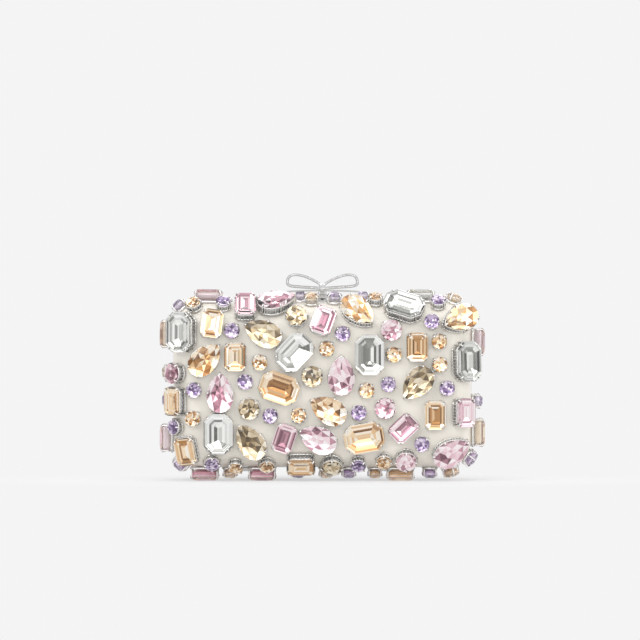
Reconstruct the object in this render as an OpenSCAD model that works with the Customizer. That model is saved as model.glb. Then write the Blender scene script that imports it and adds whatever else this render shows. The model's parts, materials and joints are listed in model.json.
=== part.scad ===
// Box clutch: two jewelled metal shells, hinged below, held by a bow clasp on top.
// Millimetres. X runs across the front, Y from front to back, Z up.
// X = 0 is the middle, Y = 0 the seam between the halves, Z = 0 the surface it stands on.

/* [Case] */
// Width of the two shells
case_w = 164; // [158:1:176]
// Height of the two shells
case_h = 90.5; // [88:0.5:100]
// Depth of one half, from the seam to its front or back face
half_depth = 24; // [23:0.5:30]
// Radius of the four corners, seen from the front
corner_r = 16; // [14:0.5:20]
// Radius of the rounded edge round each face
edge_r = 12; // [10:0.5:13]
// Thickness of the shell
wall = 1.6; // [1.2:0.1:2]
// Thickness of the lining trays
lining_t = 0.8; // [0.6:0.1:1.2]

/* [Frames] */
// Width of the metal band at the seam, on each half
band_w = 2; // [1.6:0.1:2.6]
// How far the band stands out from the shell
band_proud = 0.4; // [0.2:0.1:0.6]
// Thickness of the flange that the shell is pressed on
flange_t = 1.2; // [1:0.1:1.6]
// Depth of that flange behind the band
flange_depth = 5; // [3:0.5:7]
// How far the locating lip of the back frame reaches into the front one
lip_reach = 1.5; // [1:0.1:2]
// Thickness of the locating lip
lip_t = 0.8; // [0.6:0.1:1]

/* [Hinges] */
// Distance of each hinge from the middle
hinge_x = 38; // [32:1:44]
// Length of one hinge
hinge_len = 14; // [12:0.5:18]
// Radius of the knuckles
knuckle_r = 1.5; // [1.3:0.05:1.6]
// Radius of the hinge pin
hinge_pin_r = 0.65; // [0.5:0.05:0.8]
// How far the hinge axis lies below the shells
hinge_drop = 1.2; // [1:0.1:1.4]
// Thickness of the hinge leaves
leaf_t = 0.8; // [0.6:0.1:1]
// Height of a leaf above its knuckles
leaf_h = 1.6; // [1.4:0.1:1.8]
// Radius of the rivets in the leaves
leaf_rivet_r = 0.5; // [0.4:0.05:0.6]

/* [Clasp] */
// Width of the keeper plate
keeper_w = 4.6; // [4:0.1:6]
// Height of the keeper plate above the band
keeper_h = 6.4; // [6.2:0.1:7]
// Thickness of the keeper plate and of its foot
keeper_t = 0.6; // [0.5:0.05:0.8]
// Distance of the keeper plate's front from the seam
keeper_front = 3.1; // [2.9:0.1:3.5]
// Height of the slot that the catch passes through
slot_h = 1.6; // [1.5:0.05:1.8]
// Height of the lower slot, which lets the plate flex
flex_slot_h = 0.9; // [0.7:0.1:1.1]
// Distance of the clasp pin behind the seam
pivot_y = 3; // [2.8:0.1:3.4]
// Height of the clasp pin above the band
pivot_h = 2.9; // [2.7:0.1:3.2]
// Radius of the clasp pin
clasp_pin_r = 0.55; // [0.4:0.05:0.6]
// Width of the rocker between its ears
rocker_w = 2.8; // [2.4:0.1:3.2]
// Thickness of the rocker's tongue
tongue_t = 0.6; // [0.5:0.05:0.7]
// How far the barb hooks down behind the keeper
barb_h = 0.45; // [0.3:0.05:0.5]
// Thickness of each ear
ear_t = 0.9; // [0.8:0.1:1.1]
// Thickness of the clasp base plate
base_t = 0.8; // [0.6:0.1:0.9]
// Thickness of the return spring
spring_t = 0.25; // [0.2:0.05:0.3]

/* [Bow] */
// Width over both loops
bow_w = 39.2; // [36:0.2:42]
// Height of the tops of the loops above the middle of the knot
bow_rise = 7.4; // [6.5:0.1:8]
// Height of the knot's middle above the band
knot_z = 8.2; // [8:0.1:8.6]
// Width of the knot
knot_w = 3.4; // [2.8:0.1:3.8]
// Height of the knot
knot_h = 4.4; // [4:0.1:4.6]
// Depth of the knot, front to back
knot_d = 3.6; // [3.2:0.1:4]
// Thickness of the ribbon
ribbon_t = 1.5; // [1.2:0.05:1.6]
// Thickness of the tails
tail_t = 0.8; // [0.6:0.05:0.9]
// Width of the ribbon, front to back
ribbon_w = 3; // [2.6:0.1:3.2]

/* [Small round stones] */
// Diameter at the girdle
small_d = 8.4; // [7.6:0.1:8.6]
// Height of the crown
small_crown = 1.3; // [1.2:0.05:1.4]
// Thickness of the girdle
small_girdle = 0.4; // [0.3:0.05:0.5]
// Depth of the pavilion
small_pavilion = 3.5; // [3.3:0.1:3.7]

/* [Large round stones] */
// Diameter at the girdle
large_d = 11.6; // [10.6:0.1:11.8]
// Height of the crown
large_crown = 1.6; // [1.4:0.05:1.8]
// Thickness of the girdle
large_girdle = 0.5; // [0.4:0.05:0.6]
// Depth of the pavilion
large_pavilion = 4.3; // [4:0.1:4.5]

/* [Small octagon stones] */
// Length at the girdle
oct_l = 15.6; // [14.6:0.1:15.8]
// Width at the girdle
oct_w = 11.6; // [10.8:0.1:11.8]
// Height of the crown
oct_crown = 1.5; // [1.3:0.05:1.6]
// Thickness of the girdle
oct_girdle = 0.5; // [0.4:0.05:0.6]
// Depth of the pavilion
oct_pavilion = 4.5; // [4.4:0.1:4.7]

/* [Large octagon stones] */
// Length at the girdle
big_l = 22; // [20:0.1:22.4]
// Width at the girdle
big_w = 16; // [14.6:0.1:16.4]
// Height of the crown
big_crown = 1.8; // [1.6:0.05:2]
// Thickness of the girdle
big_girdle = 0.6; // [0.5:0.05:0.7]
// Depth of the pavilion
big_pavilion = 4.8; // [4.4:0.1:5]

/* [Pear stones] */
// Length at the girdle
pear_l = 21.6; // [19.6:0.1:22]
// Width at the girdle
pear_w = 15; // [13.6:0.1:15.4]
// Height of the crown
pear_crown = 1.7; // [1.5:0.05:1.9]
// Thickness of the girdle
pear_girdle = 0.5; // [0.4:0.05:0.6]
// Depth of the pavilion
pear_pavilion = 4.6; // [4.2:0.1:4.8]

/* [Settings] */
// Thickness of a cup's floor
cup_floor = 0.6; // [0.5:0.05:0.7]
// Thickness of a cup's wall
cup_wall = 0.7; // [0.6:0.05:0.8]
// Gap between a stone's point and the cup's floor
culet_gap = 0.2; // [0.15:0.05:0.3]
// Thickness of a claw's arm
claw_t = 0.55; // [0.45:0.05:0.65]
// Width of a claw
claw_w = 1.1; // [0.9:0.1:1.3]
// How far a claw reaches over its stone
claw_reach = 0.8; // [0.6:0.1:1]
// Width of a window in the gallery
window_w = 2.4; // [2:0.1:3]
// Width of the metal left between two windows, where a claw stands
post_w = 1.8; // [1.6:0.1:2.2]
// Metal left below and above the windows
window_rim = 0.7; // [0.5:0.1:0.8]

/* [Pocket] */
// Width of the slip pocket
pocket_w = 112; // [90:1:120]
// Height of the slip pocket
pocket_h = 42; // [34:1:46]
// Height of its lower edge above the underside of the shells
pocket_rise = 16; // [15:1:20]
// Depth of the pocket, with its cloth
pocket_depth = 2.8; // [2.4:0.1:3.4]
// Thickness of its cloth
pocket_t = 0.7; // [0.5:0.1:0.9]
// Width of its sewn edge
hem_w = 2; // [1.5:0.5:3]

/* [Clearances] */
// Gap between a setting and the shell under it
seat_gap = 0.1; // [0.05:0.05:0.2]
// Gap from each frame to the seam's middle
seam_gap = 0.05; // [0.05:0.05:0.1]
// Gap between parts that are fitted and glued
fit = 0.1; // [0.05:0.05:0.15]
// Gap between a stone and its claws
claw_gap = 0.05; // [0.04:0.01:0.08]
// Gap round a pin in its bore
pin_gap = 0.05; // [0.03:0.01:0.08]
// Gap between parts that move past each other
run_gap = 0.3; // [0.2:0.05:0.4]
// How far a cut runs past the solid that it cuts
overrun = 1; // [0.5:0.5:2]

/* [Hidden] */
$fn = 48;

// Cuts and colours of the stones, as they are used in the tables
SMALL = 0;
LARGE = 1;
OCT = 2;
BIG = 3;
PEAR = 4;
LAVENDER = 0;
PEACH = 1;
ROSE = 2;
KHAKI = 3;
CRYSTAL = 4;
COLOUR_NAMES = ["lavender", "peach", "rose", "khaki", "crystal"];
PAINTS = ["mediumpurple", "sandybrown", "pink", "darkkhaki", "honeydew"];
// The back carries the same cuts with some colours changed over
BACK_COLOURS = [LAVENDER, ROSE, PEACH, CRYSTAL, KHAKI];

// Corner cuts of the octagons and sizes of the tables, as shares
oct_corner_share = 0.2;
big_corner_share = 0.27;
least_corner_share = 0.1;
finger_share = 0.75;
oct_table_share = 0.62;
round_table_share = 0.55;
pear_table_share = 0.6;
keel_share = 0.18;
pear_points = 12;
round_points = 8;

// Each row: cut, colour, place across and up as shares of the case's half width and half height,
// measured from its middle, turn of the long side or of the pear's tip, and the depth of a stone
// on the rim as a share of half_depth. A depth of 0 lets the place alone settle where it sits.
face_shares = [
    [OCT, PEACH, -0.738, 0.744, 82, 0], [SMALL, LAVENDER, -0.604, 0.665, 0, 0],
    [PEAR, KHAKI, -0.398, 0.629, 155, 0], [LARGE, KHAKI, -0.17, 0.842, 0, 0],
    [OCT, ROSE, 0.003, 0.791, 70, 0], [SMALL, LAVENDER, 0.133, 0.623, 0, 0],
    [PEAR, PEACH, 0.235, 0.921, 316, 0], [LARGE, ROSE, 0.458, 0.67, 0, 0],
    [SMALL, LAVENDER, 0.73, 0.775, 0, 0], [PEAR, PEACH, -0.785, 0.31, 45, 0],
    [OCT, PEACH, -0.579, 0.338, 90, 0], [SMALL, PEACH, -0.42, 0.278, 0, 0],
    [BIG, CRYSTAL, -0.187, 0.395, 47, 0], [SMALL, PEACH, 0.028, 0.446, 0, 0],
    [BIG, CRYSTAL, 0.316, 0.368, 90, 0], [SMALL, PEACH, 0.474, 0.367, 0, 0],
    [OCT, PEACH, 0.633, 0.459, 90, 0], [SMALL, PEACH, 0.779, 0.534, 0, 0],
    [SMALL, PEACH, 0.779, 0.25, 0, 0], [SMALL, LAVENDER, -0.856, -0.054, 0, 0],
    [PEAR, ROSE, -0.683, -0.1, 90, 0], [SMALL, LAVENDER, -0.517, 0.037, 0, 0],
    [BIG, PEACH, -0.291, -0.033, -19, 0], [LARGE, KHAKI, -0.07, 0.099, 0, 0],
    [PEAR, ROSE, 0.125, 0.119, 90, 0], [SMALL, PEACH, 0.292, -0.064, 0, 0],
    [SMALL, LAVENDER, 0.437, 0.017, 0, 0], [PEAR, KHAKI, 0.635, 0.022, 228, 0],
    [SMALL, LAVENDER, 0.833, -0.037, 0, 0], [LARGE, KHAKI, -0.486, -0.281, 0, 0],
    [SMALL, LAVENDER, -0.347, -0.375, 0, 0], [SMALL, PEACH, -0.159, -0.37, 0, 0],
    [PEAR, PEACH, 0.036, -0.299, 150, 0], [SMALL, LAVENDER, 0.243, -0.337, 0, 0],
    [LARGE, ROSE, 0.418, -0.282, 0, 0], [OCT, ROSE, 0.544, -0.523, 44, 0],
    [OCT, PEACH, 0.753, -0.36, 90, 0], [SMALL, PEACH, -0.866, -0.398, 0, 0],
    [BIG, CRYSTAL, -0.692, -0.588, 90, 0], [PEAR, KHAKI, -0.48, -0.685, 125, 0],
    [OCT, ROSE, -0.254, -0.64, 72, 0], [PEAR, ROSE, -0.031, -0.653, 335, 0],
    [BIG, PEACH, 0.279, -0.635, 10, 0], [SMALL, LAVENDER, 0.666, -0.709, 0, 0],
    [PEAR, ROSE, 0.865, -0.821, 214, 0]
];
edge_shares = [
    [BIG, CRYSTAL, -0.962, 0.64, 90, 0], [LARGE, ROSE, -1.012, 0.143, 0, 0],
    [OCT, PEACH, -1.009, -0.197, 90, 0], [SMALL, LAVENDER, -1.002, -0.51, 0, 0],
    [OCT, PEACH, -0.922, -0.811, 98, 0], [SMALL, PEACH, -0.865, 1.01, 0, 0],
    [SMALL, LAVENDER, -0.661, 1.024, 0, 0], [OCT, ROSE, -0.516, 0.994, 90, 0],
    [PEAR, ROSE, -0.308, 1.053, 20, 0], [SMALL, PEACH, -0.072, 1.085, 0, 0],
    [SMALL, LAVENDER, 0.082, 1.097, 0, 0], [SMALL, PEACH, 0.356, 1.08, 0, 0],
    [BIG, CRYSTAL, 0.546, 0.995, -22, 0], [SMALL, LAVENDER, 0.775, 1.04, 0, 0],
    [PEAR, PEACH, 0.93, 0.818, 205, 0], [BIG, CRYSTAL, 0.99, 0.283, 90, 0],
    [OCT, ROSE, 0.963, -0.331, 90, 0], [SMALL, LAVENDER, -0.739, -0.975, 0, 0],
    [SMALL, PEACH, -0.58, -1.023, 0, 0], [SMALL, PEACH, -0.37, -1.005, 0, 0],
    [OCT, PEACH, -0.144, -1.006, 0, 0], [LARGE, KHAKI, 0.064, -1.018, 0, 0],
    [SMALL, LAVENDER, 0.239, -0.992, 0, 0], [SMALL, PEACH, 0.41, -0.945, 0, 0],
    [LARGE, ROSE, 0.557, -0.945, 0, 0]
];
rim_shares = [
    [SMALL, LAVENDER, -0.981, 1, 0, 0.44], [SMALL, LAVENDER, -0.975, -1.007, 0, 0.44],
    [SMALL, LAVENDER, 1.01, -0.914, 0, 0.44], [SMALL, LAVENDER, 1.034, 0.872, 0, 0.44],
    [OCT, ROSE, -0.767, 1.115, 0, 0.44], [SMALL, LAVENDER, -0.15, 1.128, 0, 0.34],
    [SMALL, LAVENDER, 0.272, 1.122, 0, 0.27], [OCT, CRYSTAL, 0.66, 1.14, 0, 0.44],
    [SMALL, PEACH, 0.894, 1.098, 0, 0.44], [OCT, PEACH, -1.076, 0.617, 90, 0.44],
    [SMALL, KHAKI, -1.073, 0.155, 0, 0.44], [SMALL, LAVENDER, -1.073, -0.185, 0, 0.44],
    [OCT, ROSE, -1.062, -0.647, 90, 0.44], [OCT, ROSE, 1.057, 0.52, 90, 0.44],
    [SMALL, LAVENDER, 1.034, -0.197, 0, 0.44], [OCT, PEACH, 1.057, -0.58, 90, 0.44]
];
base_shares = [
    [OCT, ROSE, -0.79, -1.109, 0, 0.44], [SMALL, PEACH, -0.62, -1.109, 0, 0.44],
    [OCT, ROSE, -0.405, -1.097, 0, 0.44], [SMALL, LAVENDER, -0.164, -1.121, 0, 0.44],
    [SMALL, PEACH, 0.024, -1.133, 0, 0.44], [SMALL, LAVENDER, 0.178, -1.085, 0, 0.44],
    [SMALL, PEACH, 0.353, -1.079, 0, 0.44], [OCT, PEACH, 0.524, -1.097, 0, 0.44],
    [SMALL, LAVENDER, 0.722, -1.091, 0, 0.44], [SMALL, PEACH, 0.866, -1.079, 0, 0.44]
];
all_shares = concat(face_shares, edge_shares, rim_shares, base_shares);

// Ribbon of one loop: points of two joined curves, as shares of the half width and of the rise
loop_top_shares = [[0, 0.1], [0.32, 0.75], [0.9, 1.34], [0.98, 0.55]];
loop_low_shares = [[0.98, 0.55], [1.02, -0.05], [0.95, 0.1], [0, -0.1]];
tail_shares = [[0, -0.255], [0.35, -0.26], [0.75, -0.29], [1.1, -0.36]];
curve_steps = 12;

// Heights of a stone in its setting, for one cut: outline size, crown, girdle and pavilion
function cut_length(cut) = [small_d, large_d, oct_l, big_l, pear_l][cut];
function cut_width(cut) = [small_d, large_d, oct_w, big_w, pear_w][cut];
function cut_crown(cut) = [small_crown, large_crown, oct_crown, big_crown, pear_crown][cut];
function cut_girdle(cut) = [small_girdle, large_girdle, oct_girdle, big_girdle, pear_girdle][cut];
function cut_pavilion(cut) =
    [small_pavilion, large_pavilion, oct_pavilion, big_pavilion, pear_pavilion][cut];
function girdle_low(cut) = cup_floor + culet_gap + cut_pavilion(cut);
function girdle_top(cut) = girdle_low(cut) + cut_girdle(cut);
function stone_top(cut) = girdle_top(cut) + cut_crown(cut);

// The small octagons on the underside are the feet, so they set the height of the case
case_z = stone_top(OCT) + seat_gap;
case_mid = case_z + case_h / 2;
case_top = case_z + case_h;
band_top = case_top + band_proud;
flange_inset = wall + fit;
opening_inset = flange_inset + flange_t;
lining_inset = opening_inset + fit;
lining_start = seam_gap + band_w + fit;
hinge_z = case_z - hinge_drop;
groove_r = knuckle_r + run_gap;
leaf_low = hinge_z + groove_r + fit;
leaf_top = leaf_low + leaf_h;
pivot_z = band_top + pivot_h;
keeper_top = band_top + keeper_h;
slot_top = keeper_top - keeper_t;
slot_low = slot_top - slot_h;
tongue_low = slot_low + pin_gap;
knot_mid = band_top + knot_z;

// Corners of an octagon, corners first at the right, counter-clockwise
function octagon(l, w, c) = [
    [l / 2, -w / 2 + c], [l / 2, w / 2 - c], [l / 2 - c, w / 2], [-l / 2 + c, w / 2],
    [-l / 2, w / 2 - c], [-l / 2, -w / 2 + c], [-l / 2 + c, -w / 2], [l / 2 - c, -w / 2]
];
// The same octagon with every side moved inwards, its corners never quite sharp
function octagon_inset(l, w, c, inset) =
    octagon(l - 2 * inset, w - 2 * inset, max(c - inset * (2 - sqrt(2)), least_corner_share * c));
function corner_cut(cut) = cut_width(cut) * (cut == OCT ? oct_corner_share : big_corner_share);
// A pear has its tip at +X. A power of the half angle's sine draws it out to the tip, and its
// largest width is scaled back to the width of the stone
pear_power = 0.45;
pear_fullness = 2 * pow(1 / (2 + pear_power), 0.5)
    * pow((1 + pear_power) / (2 + pear_power), (1 + pear_power) / 2);
function pear_point(l, w, t) =
    [l / 2 * cos(t), w / 2 * sin(t) * pow(sin(t / 2), pear_power) / pear_fullness];
function pear(l, w) =
    [for (i = [0:pear_points - 1]) pear_point(l, w, 360 * i / pear_points)];
function ring(d, n) = [for (i = [0:n - 1]) d / 2 * [cos(360 * i / n), sin(360 * i / n)]];
function outline(cut) =
    cut == PEAR ? pear(pear_l, pear_w)
    : cut == SMALL || cut == LARGE ? ring(cut_length(cut), round_points)
    : octagon(cut_length(cut), cut_width(cut), corner_cut(cut));

// Middles of the sides of an outline, pushed out to the size of its corners and scaled
function side_middles(points, share) = let (n = len(points)) [
    for (i = [0:n - 1])
        let (middle = (points[i] + points[(i + 1) % n]) / 2)
        share * middle * (norm(points[i]) + norm(points[(i + 1) % n])) / 2 / norm(middle)
];
function raised(points, z) = [for (p = points) [p[0], p[1], z]];

// Solid through rings of equally many points, counter-clockwise, from the lowest up.
// A ring may start half a step on from the one below. With a tip it ends below in that point
module loft(rings, tip) {
    n = len(rings[0]);
    count = len(rings);
    pointed = !is_undef(tip);
    points = concat([for (r = rings) each r], pointed ? [tip] : []);
    sides = [
        for (r = [0:count - 2], i = [0:n - 1])
            let (j = (i + 1) % n, low = r * n, high = r * n + n)
            each [[low + i, high + i, low + j], [low + j, high + i, high + j]]
    ];
    top = [[for (i = [n - 1:-1:0]) (count - 1) * n + i]];
    bottom = pointed
        ? [for (i = [0:n - 1]) [i, (i + 1) % n, count * n]]
        : [[for (i = [0:n - 1]) i]];
    polyhedron(points, concat(sides, top, bottom), convexity = 2);
}

// One stone, its girdle at the height that the cup gives it
module stone(cut) {
    low = girdle_low(cut);
    top = girdle_top(cut);
    tip_z = cup_floor + culet_gap;
    if (cut == OCT || cut == BIG) {
        l = cut_length(cut);
        w = cut_width(cut);
        c = corner_cut(cut);
        table_in = w * (1 - oct_table_share) / 2;
        keel_in = w * (1 - keel_share) / 2;
        loft([
            raised(octagon_inset(l, w, c, keel_in), tip_z),
            raised(octagon_inset(l, w, c, 0), low),
            raised(octagon_inset(l, w, c, 0), top),
            raised(octagon_inset(l, w, c, table_in), stone_top(cut))
        ]);
    } else {
        points = outline(cut);
        share = cut == PEAR ? pear_table_share : round_table_share;
        loft([
            raised(points, low), raised(points, top),
            raised(side_middles(points, share), stone_top(cut))
        ], [0, 0, tip_z]);
    }
}

// Claws of a cut: place on the girdle, direction outwards, and width of the crown there
function round_claws(cut) = [
    for (a = [45:90:315])
        [cut_length(cut) / 2 * [cos(a), sin(a)], a, cut_length(cut) / 2 * (1 - round_table_share)]
];
function octagon_claws(cut) = let (c = corner_cut(cut)) [
    for (a = [45:90:315])
        [
            [sign(cos(a)) * (cut_length(cut) - c) / 2, sign(sin(a)) * (cut_width(cut) - c) / 2],
            a, cut_width(cut) * (1 - oct_table_share) / 2
        ]
];
function pear_claws() = [
    for (t = [0, 90, 150, 210, 270])
        let (
            step = 360 / pear_points,
            p = pear_point(pear_l, pear_w, t),
            along = pear_point(pear_l, pear_w, t + step) - pear_point(pear_l, pear_w, t - step),
            a = t == 0 ? 0 : atan2(-along[0], along[1])
        )
        [p, a, (1 - pear_table_share) * (p[0] * cos(a) + p[1] * sin(a))]
];
function claws(cut) =
    cut == PEAR ? pear_claws() : cut == OCT || cut == BIG ? octagon_claws(cut) : round_claws(cut);

// How far the pavilion runs in from the girdle where it is steepest
function pavilion_run(cut) =
    cut_width(cut) / 2
    * (cut == OCT || cut == BIG ? 1 - keel_share : cos(180 / round_points));
// Top of a cup's wall, low enough to clear the pavilion
function rim_z(cut) =
    girdle_low(cut) - claw_gap - cup_wall * cut_pavilion(cut) / pavilion_run(cut);

module claw(cut, crown_w) {
    slope = cut_crown(cut) / crown_w;
    z = girdle_top(cut) + claw_gap;
    outer = claw_gap + claw_t;
    finger_t = claw_t * finger_share;
    translate([0, claw_w / 2, 0])
        rotate([90, 0, 0])
            linear_extrude(claw_w)
                polygon([
                    [-cup_wall / 2, cup_floor / 2], [outer, cup_floor / 2],
                    [outer, z + finger_t], [-claw_reach, z + claw_reach * slope + claw_gap],
                    [claw_gap, z], [claw_gap, rim_z(cut)], [-cup_wall / 2, rim_z(cut)]
                ]);
}

module cup_outline(cut, inset) {
    if (cut == PEAR) {
        k = 1 - 2 * inset / pear_w;
        polygon(pear(pear_l * k, pear_w * k));
    } else if (cut == OCT || cut == BIG)
        polygon(octagon_inset(cut_length(cut), cut_width(cut), corner_cut(cut), inset));
    else
        circle(cut_length(cut) / 2 - inset);
}

// Windows of the gallery, cut in pairs by a bar: its width, its turn and its place along the cup.
// The smallest cup is left whole
function windows(cut) = let (
        flat_l = cut_length(cut) - 2 * corner_cut(cut),
        flat_w = cut_width(cut) - 2 * corner_cut(cut),
        pitch = window_w + post_w
    )
    cut == OCT || cut == BIG ? [[flat_l - post_w, 90, 0], [flat_w - post_w, 0, 0]]
    : cut == PEAR ? [for (x = [-0.5, 0.5]) [window_w, 90, x * pitch]]
    : cut == LARGE ? [[window_w, 0, 0], [window_w, 90, 0]]
    : [];

module window_bars(cut) {
    low = cup_floor + window_rim / 2;
    reach = cut_length(cut) / 2 + overrun;
    for (v = windows(cut))
        translate([v[2], 0, low])
            rotate([0, 0, v[1]])
                translate([-reach, -v[0] / 2, 0])
                    cube([2 * reach, v[0], rim_z(cut) - window_rim - low]);
}

// One silver cup with its gallery and claws
module setting(cut) {
    difference() {
        linear_extrude(rim_z(cut))
            cup_outline(cut, 0);
        translate([0, 0, cup_floor])
            linear_extrude(rim_z(cut))
                cup_outline(cut, cup_wall);
        window_bars(cut);
    }
    for (c = claws(cut))
        translate([c[0][0], c[0][1], 0])
            rotate([0, 0, c[1]])
                claw(cut, c[2]);
}

// Where a stone sits. The spine is the rounded rectangle that the rounded edge turns about
spine_x = case_w / 2 - corner_r;
spine_z = case_h / 2 - corner_r;
spine_r = corner_r - edge_r;
function across(s) = s[2] * case_w / 2;
function up(s) = s[3] * case_h / 2;
function from_spine(s) = [
    sign(s[2]) * max(abs(across(s)) - spine_x, 0), sign(s[3]) * max(abs(up(s)) - spine_z, 0)
];
function outwards(s) = let (v = from_spine(s)) norm(v) == 0 ? [0, 1] : v / norm(v);
function beyond(s) = norm(from_spine(s)) - spine_r;
function lift(s) = seat_gap + girdle_top(s[0]);
function tilt(s) =
    s[5] > 0 ? 90 : beyond(s) <= 0 ? 0 : asin(min(1, beyond(s) / (edge_r + lift(s))));
function on_face(s) = tilt(s) == 0;
function side_of(s) = let (u = outwards(s))
    on_face(s) ? "face"
    : abs(u[1]) >= abs(u[0]) ? (u[1] > 0 ? "top" : "bottom")
    : u[0] > 0 ? "right" : "left";
function is_foot(s) = s[0] == OCT && s[5] > 0 && side_of(s) == "bottom";

// Puts a child, whose base is at its own Z = 0, on the shell of the front half
module seat(s) {
    u = outwards(s);
    a = tilt(s);
    reach = max(beyond(s), 0) - edge_r * sin(a);
    depth = s[5] > 0 ? s[5] * half_depth : half_depth - edge_r * (1 - cos(a));
    translate([across(s) - u[0] * reach, -depth, case_mid + up(s) - u[1] * reach])
        rotate(a = a, v = [-u[1], 0, u[0]])
            rotate([90, 0, 0])
                rotate([0, 0, s[4]])
                    translate([0, 0, seat_gap])
                        children();
}

// The metal parts of the back half are those of the front one turned about the vertical
module half(name) {
    rotate([0, 0, name == "back" ? 180 : 0])
        children();
}

// Turns a shape drawn across and up, and built along Z, so that it builds towards the front
module upright(from) {
    translate([0, -from, case_mid])
        rotate([90, 0, 0])
            children();
}

module case_outline(inset) {
    w = case_w - 2 * inset;
    h = case_h - 2 * inset;
    r = corner_r - inset;
    square([w - 2 * r, h], center = true);
    square([w, h - 2 * r], center = true);
    for (x = [-1, 1], y = [-1, 1])
        translate([x * (w / 2 - r), y * (h / 2 - r)])
            circle(r);
}

// Section through a rounded box from the middle of its corner outwards
module edge_section(inset, depth) {
    flat = corner_r - edge_r;
    square([flat, depth]);
    square([corner_r - inset, depth - edge_r + inset]);
    translate([flat, depth - edge_r + inset])
        intersection() {
            circle(edge_r - inset);
            square(edge_r - inset);
        }
}

// Box with rounded corners and a rounded far edge, standing on its open side
module rounded_box(inset, depth) {
    x = case_w / 2 - corner_r;
    y = case_h / 2 - corner_r;
    translate([-x, -y, 0])
        cube([2 * x, 2 * y, depth]);
    for (a = [0, 180])
        rotate([0, 0, a]) {
            translate([x, y, 0])
                rotate([90, 0, 0])
                    linear_extrude(2 * y)
                        edge_section(inset, depth);
            translate([-x, y, 0])
                rotate([90, 0, 90])
                    linear_extrude(2 * x)
                        edge_section(inset, depth);
            translate([x, y, 0])
                rotate_extrude(angle = 90)
                    edge_section(inset, depth);
            translate([-x, y, 0])
                rotate([0, 0, 90])
                    rotate_extrude(angle = 90)
                        edge_section(inset, depth);
        }
}

module shell() {
    start = seam_gap + band_w;
    depth = half_depth - start;
    color("ivory")
        upright(start)
            difference() {
                rounded_box(0, depth);
                translate([0, 0, -overrun])
                    rounded_box(wall, depth - wall + overrun);
            }
}

module lining() {
    depth = half_depth - wall - fit - lining_start;
    color("lavenderblush")
        upright(lining_start)
            difference() {
                rounded_box(lining_inset, depth);
                translate([0, 0, -overrun])
                    rounded_box(lining_inset + lining_t, depth - lining_t + overrun);
            }
}

// Bores in a frame for the rivets of its hinge leaves
module leaf_rivet_places() {
    for (side = [-1, 1], i = [-1, 1])
        translate([side * hinge_x + i * hinge_len / 3, 0, leaf_low + leaf_h / 2])
            rotate([90, 0, 0])
                children();
}

module frame(name) {
    color("silver")
        difference() {
            union() {
                upright(seam_gap)
                    linear_extrude(band_w)
                        difference() {
                            case_outline(-band_proud);
                            case_outline(opening_inset);
                        }
                upright(seam_gap)
                    linear_extrude(band_w + flange_depth)
                        difference() {
                            case_outline(flange_inset);
                            case_outline(opening_inset);
                        }
                if (name == "back")
                    lip();
            }
            for (side = [-1, 1])
                translate([side * hinge_x - hinge_len / 2 - fit, 0, 0]) {
                    translate([0, 0, hinge_z])
                        rotate([0, 90, 0])
                            cylinder(r = groove_r, h = hinge_len + 2 * fit);
                    translate([0, -seam_gap - leaf_t, hinge_z])
                        cube([hinge_len + 2 * fit, leaf_t + overrun, leaf_top + fit - hinge_z]);
                }
            leaf_rivet_places()
                cylinder(r = leaf_rivet_r + pin_gap, h = band_w - fit, $fn = 24);
            rivet_holes(name);
        }
}

// The lip stands on the opening of the back frame, along the top and down the sides.
// It is drawn as the front half is, so towards the seam is its own negative direction
module lip() {
    foot = opening_inset;
    skin = opening_inset + run_gap;
    lip_low = case_z + corner_r;
    intersection() {
        union() {
            upright(seam_gap)
                linear_extrude(band_w)
                    difference() {
                        case_outline(foot);
                        case_outline(skin + lip_t);
                    }
            upright(-lip_reach)
                linear_extrude(band_w + seam_gap + lip_reach)
                    difference() {
                        case_outline(skin);
                        case_outline(skin + lip_t);
                    }
        }
        translate([-case_w, -case_w, lip_low])
            cube([2 * case_w, 2 * case_w, case_h]);
    }
}

// Holes for the rivets of the keeper in front and of the clasp base behind
rivet_r = 0.5;
rivet_head_r = 0.8;
rivet_head_h = 0.35;
base_rivet_x = 4.2;
base_w = 11;
module rivet_holes(name) {
    if (name == "back")
        for (i = [-1, 1])
            translate([i * base_rivet_x, -seam_gap - band_w / 2, band_top - wall])
                cylinder(r = rivet_r + pin_gap, h = wall + overrun, $fn = 24);
    else
        translate([0, -seam_gap - band_w / 2, band_top - wall])
            cylinder(r = rivet_r + pin_gap, h = wall + overrun, $fn = 24);
}

// Leaf of one hinge for the front half, with the even or the odd knuckles
knuckle_count = 5;
module hinge_leaf(odd) {
    pitch = hinge_len / knuckle_count;
    for (side = [-1, 1])
        translate([side * hinge_x - hinge_len / 2, 0, 0])
            difference() {
                union() {
                    translate([0, -seam_gap - leaf_t, leaf_low])
                        cube([hinge_len, leaf_t, leaf_h]);
                    for (i = [0:knuckle_count - 1])
                        if (i % 2 == odd)
                            translate([i * pitch + pin_gap, 0, hinge_z]) {
                                rotate([0, 90, 0])
                                    cylinder(r = knuckle_r, h = pitch - 2 * pin_gap);
                                translate([0, -seam_gap - leaf_t, 0])
                                    cube([pitch - 2 * pin_gap, leaf_t, leaf_low - hinge_z + fit]);
                            }
                }
                translate([-overrun, 0, hinge_z])
                    rotate([0, 90, 0])
                        cylinder(r = hinge_pin_r + pin_gap, h = hinge_len + 2 * overrun, $fn = 24);
                for (i = [-1, 1])
                    translate([hinge_len / 2 + i * hinge_len / 3, overrun, leaf_low + leaf_h / 2])
                        rotate([90, 0, 0])
                            cylinder(r = leaf_rivet_r + pin_gap, h = leaf_t + 2 * overrun, $fn = 24);
            }
}

module leaf_rivets() {
    color("gainsboro")
        leaf_rivet_places()
            translate([0, 0, seam_gap])
                cylinder(r = leaf_rivet_r, h = band_w - seam_gap - 2 * fit, $fn = 24);
}

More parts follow.
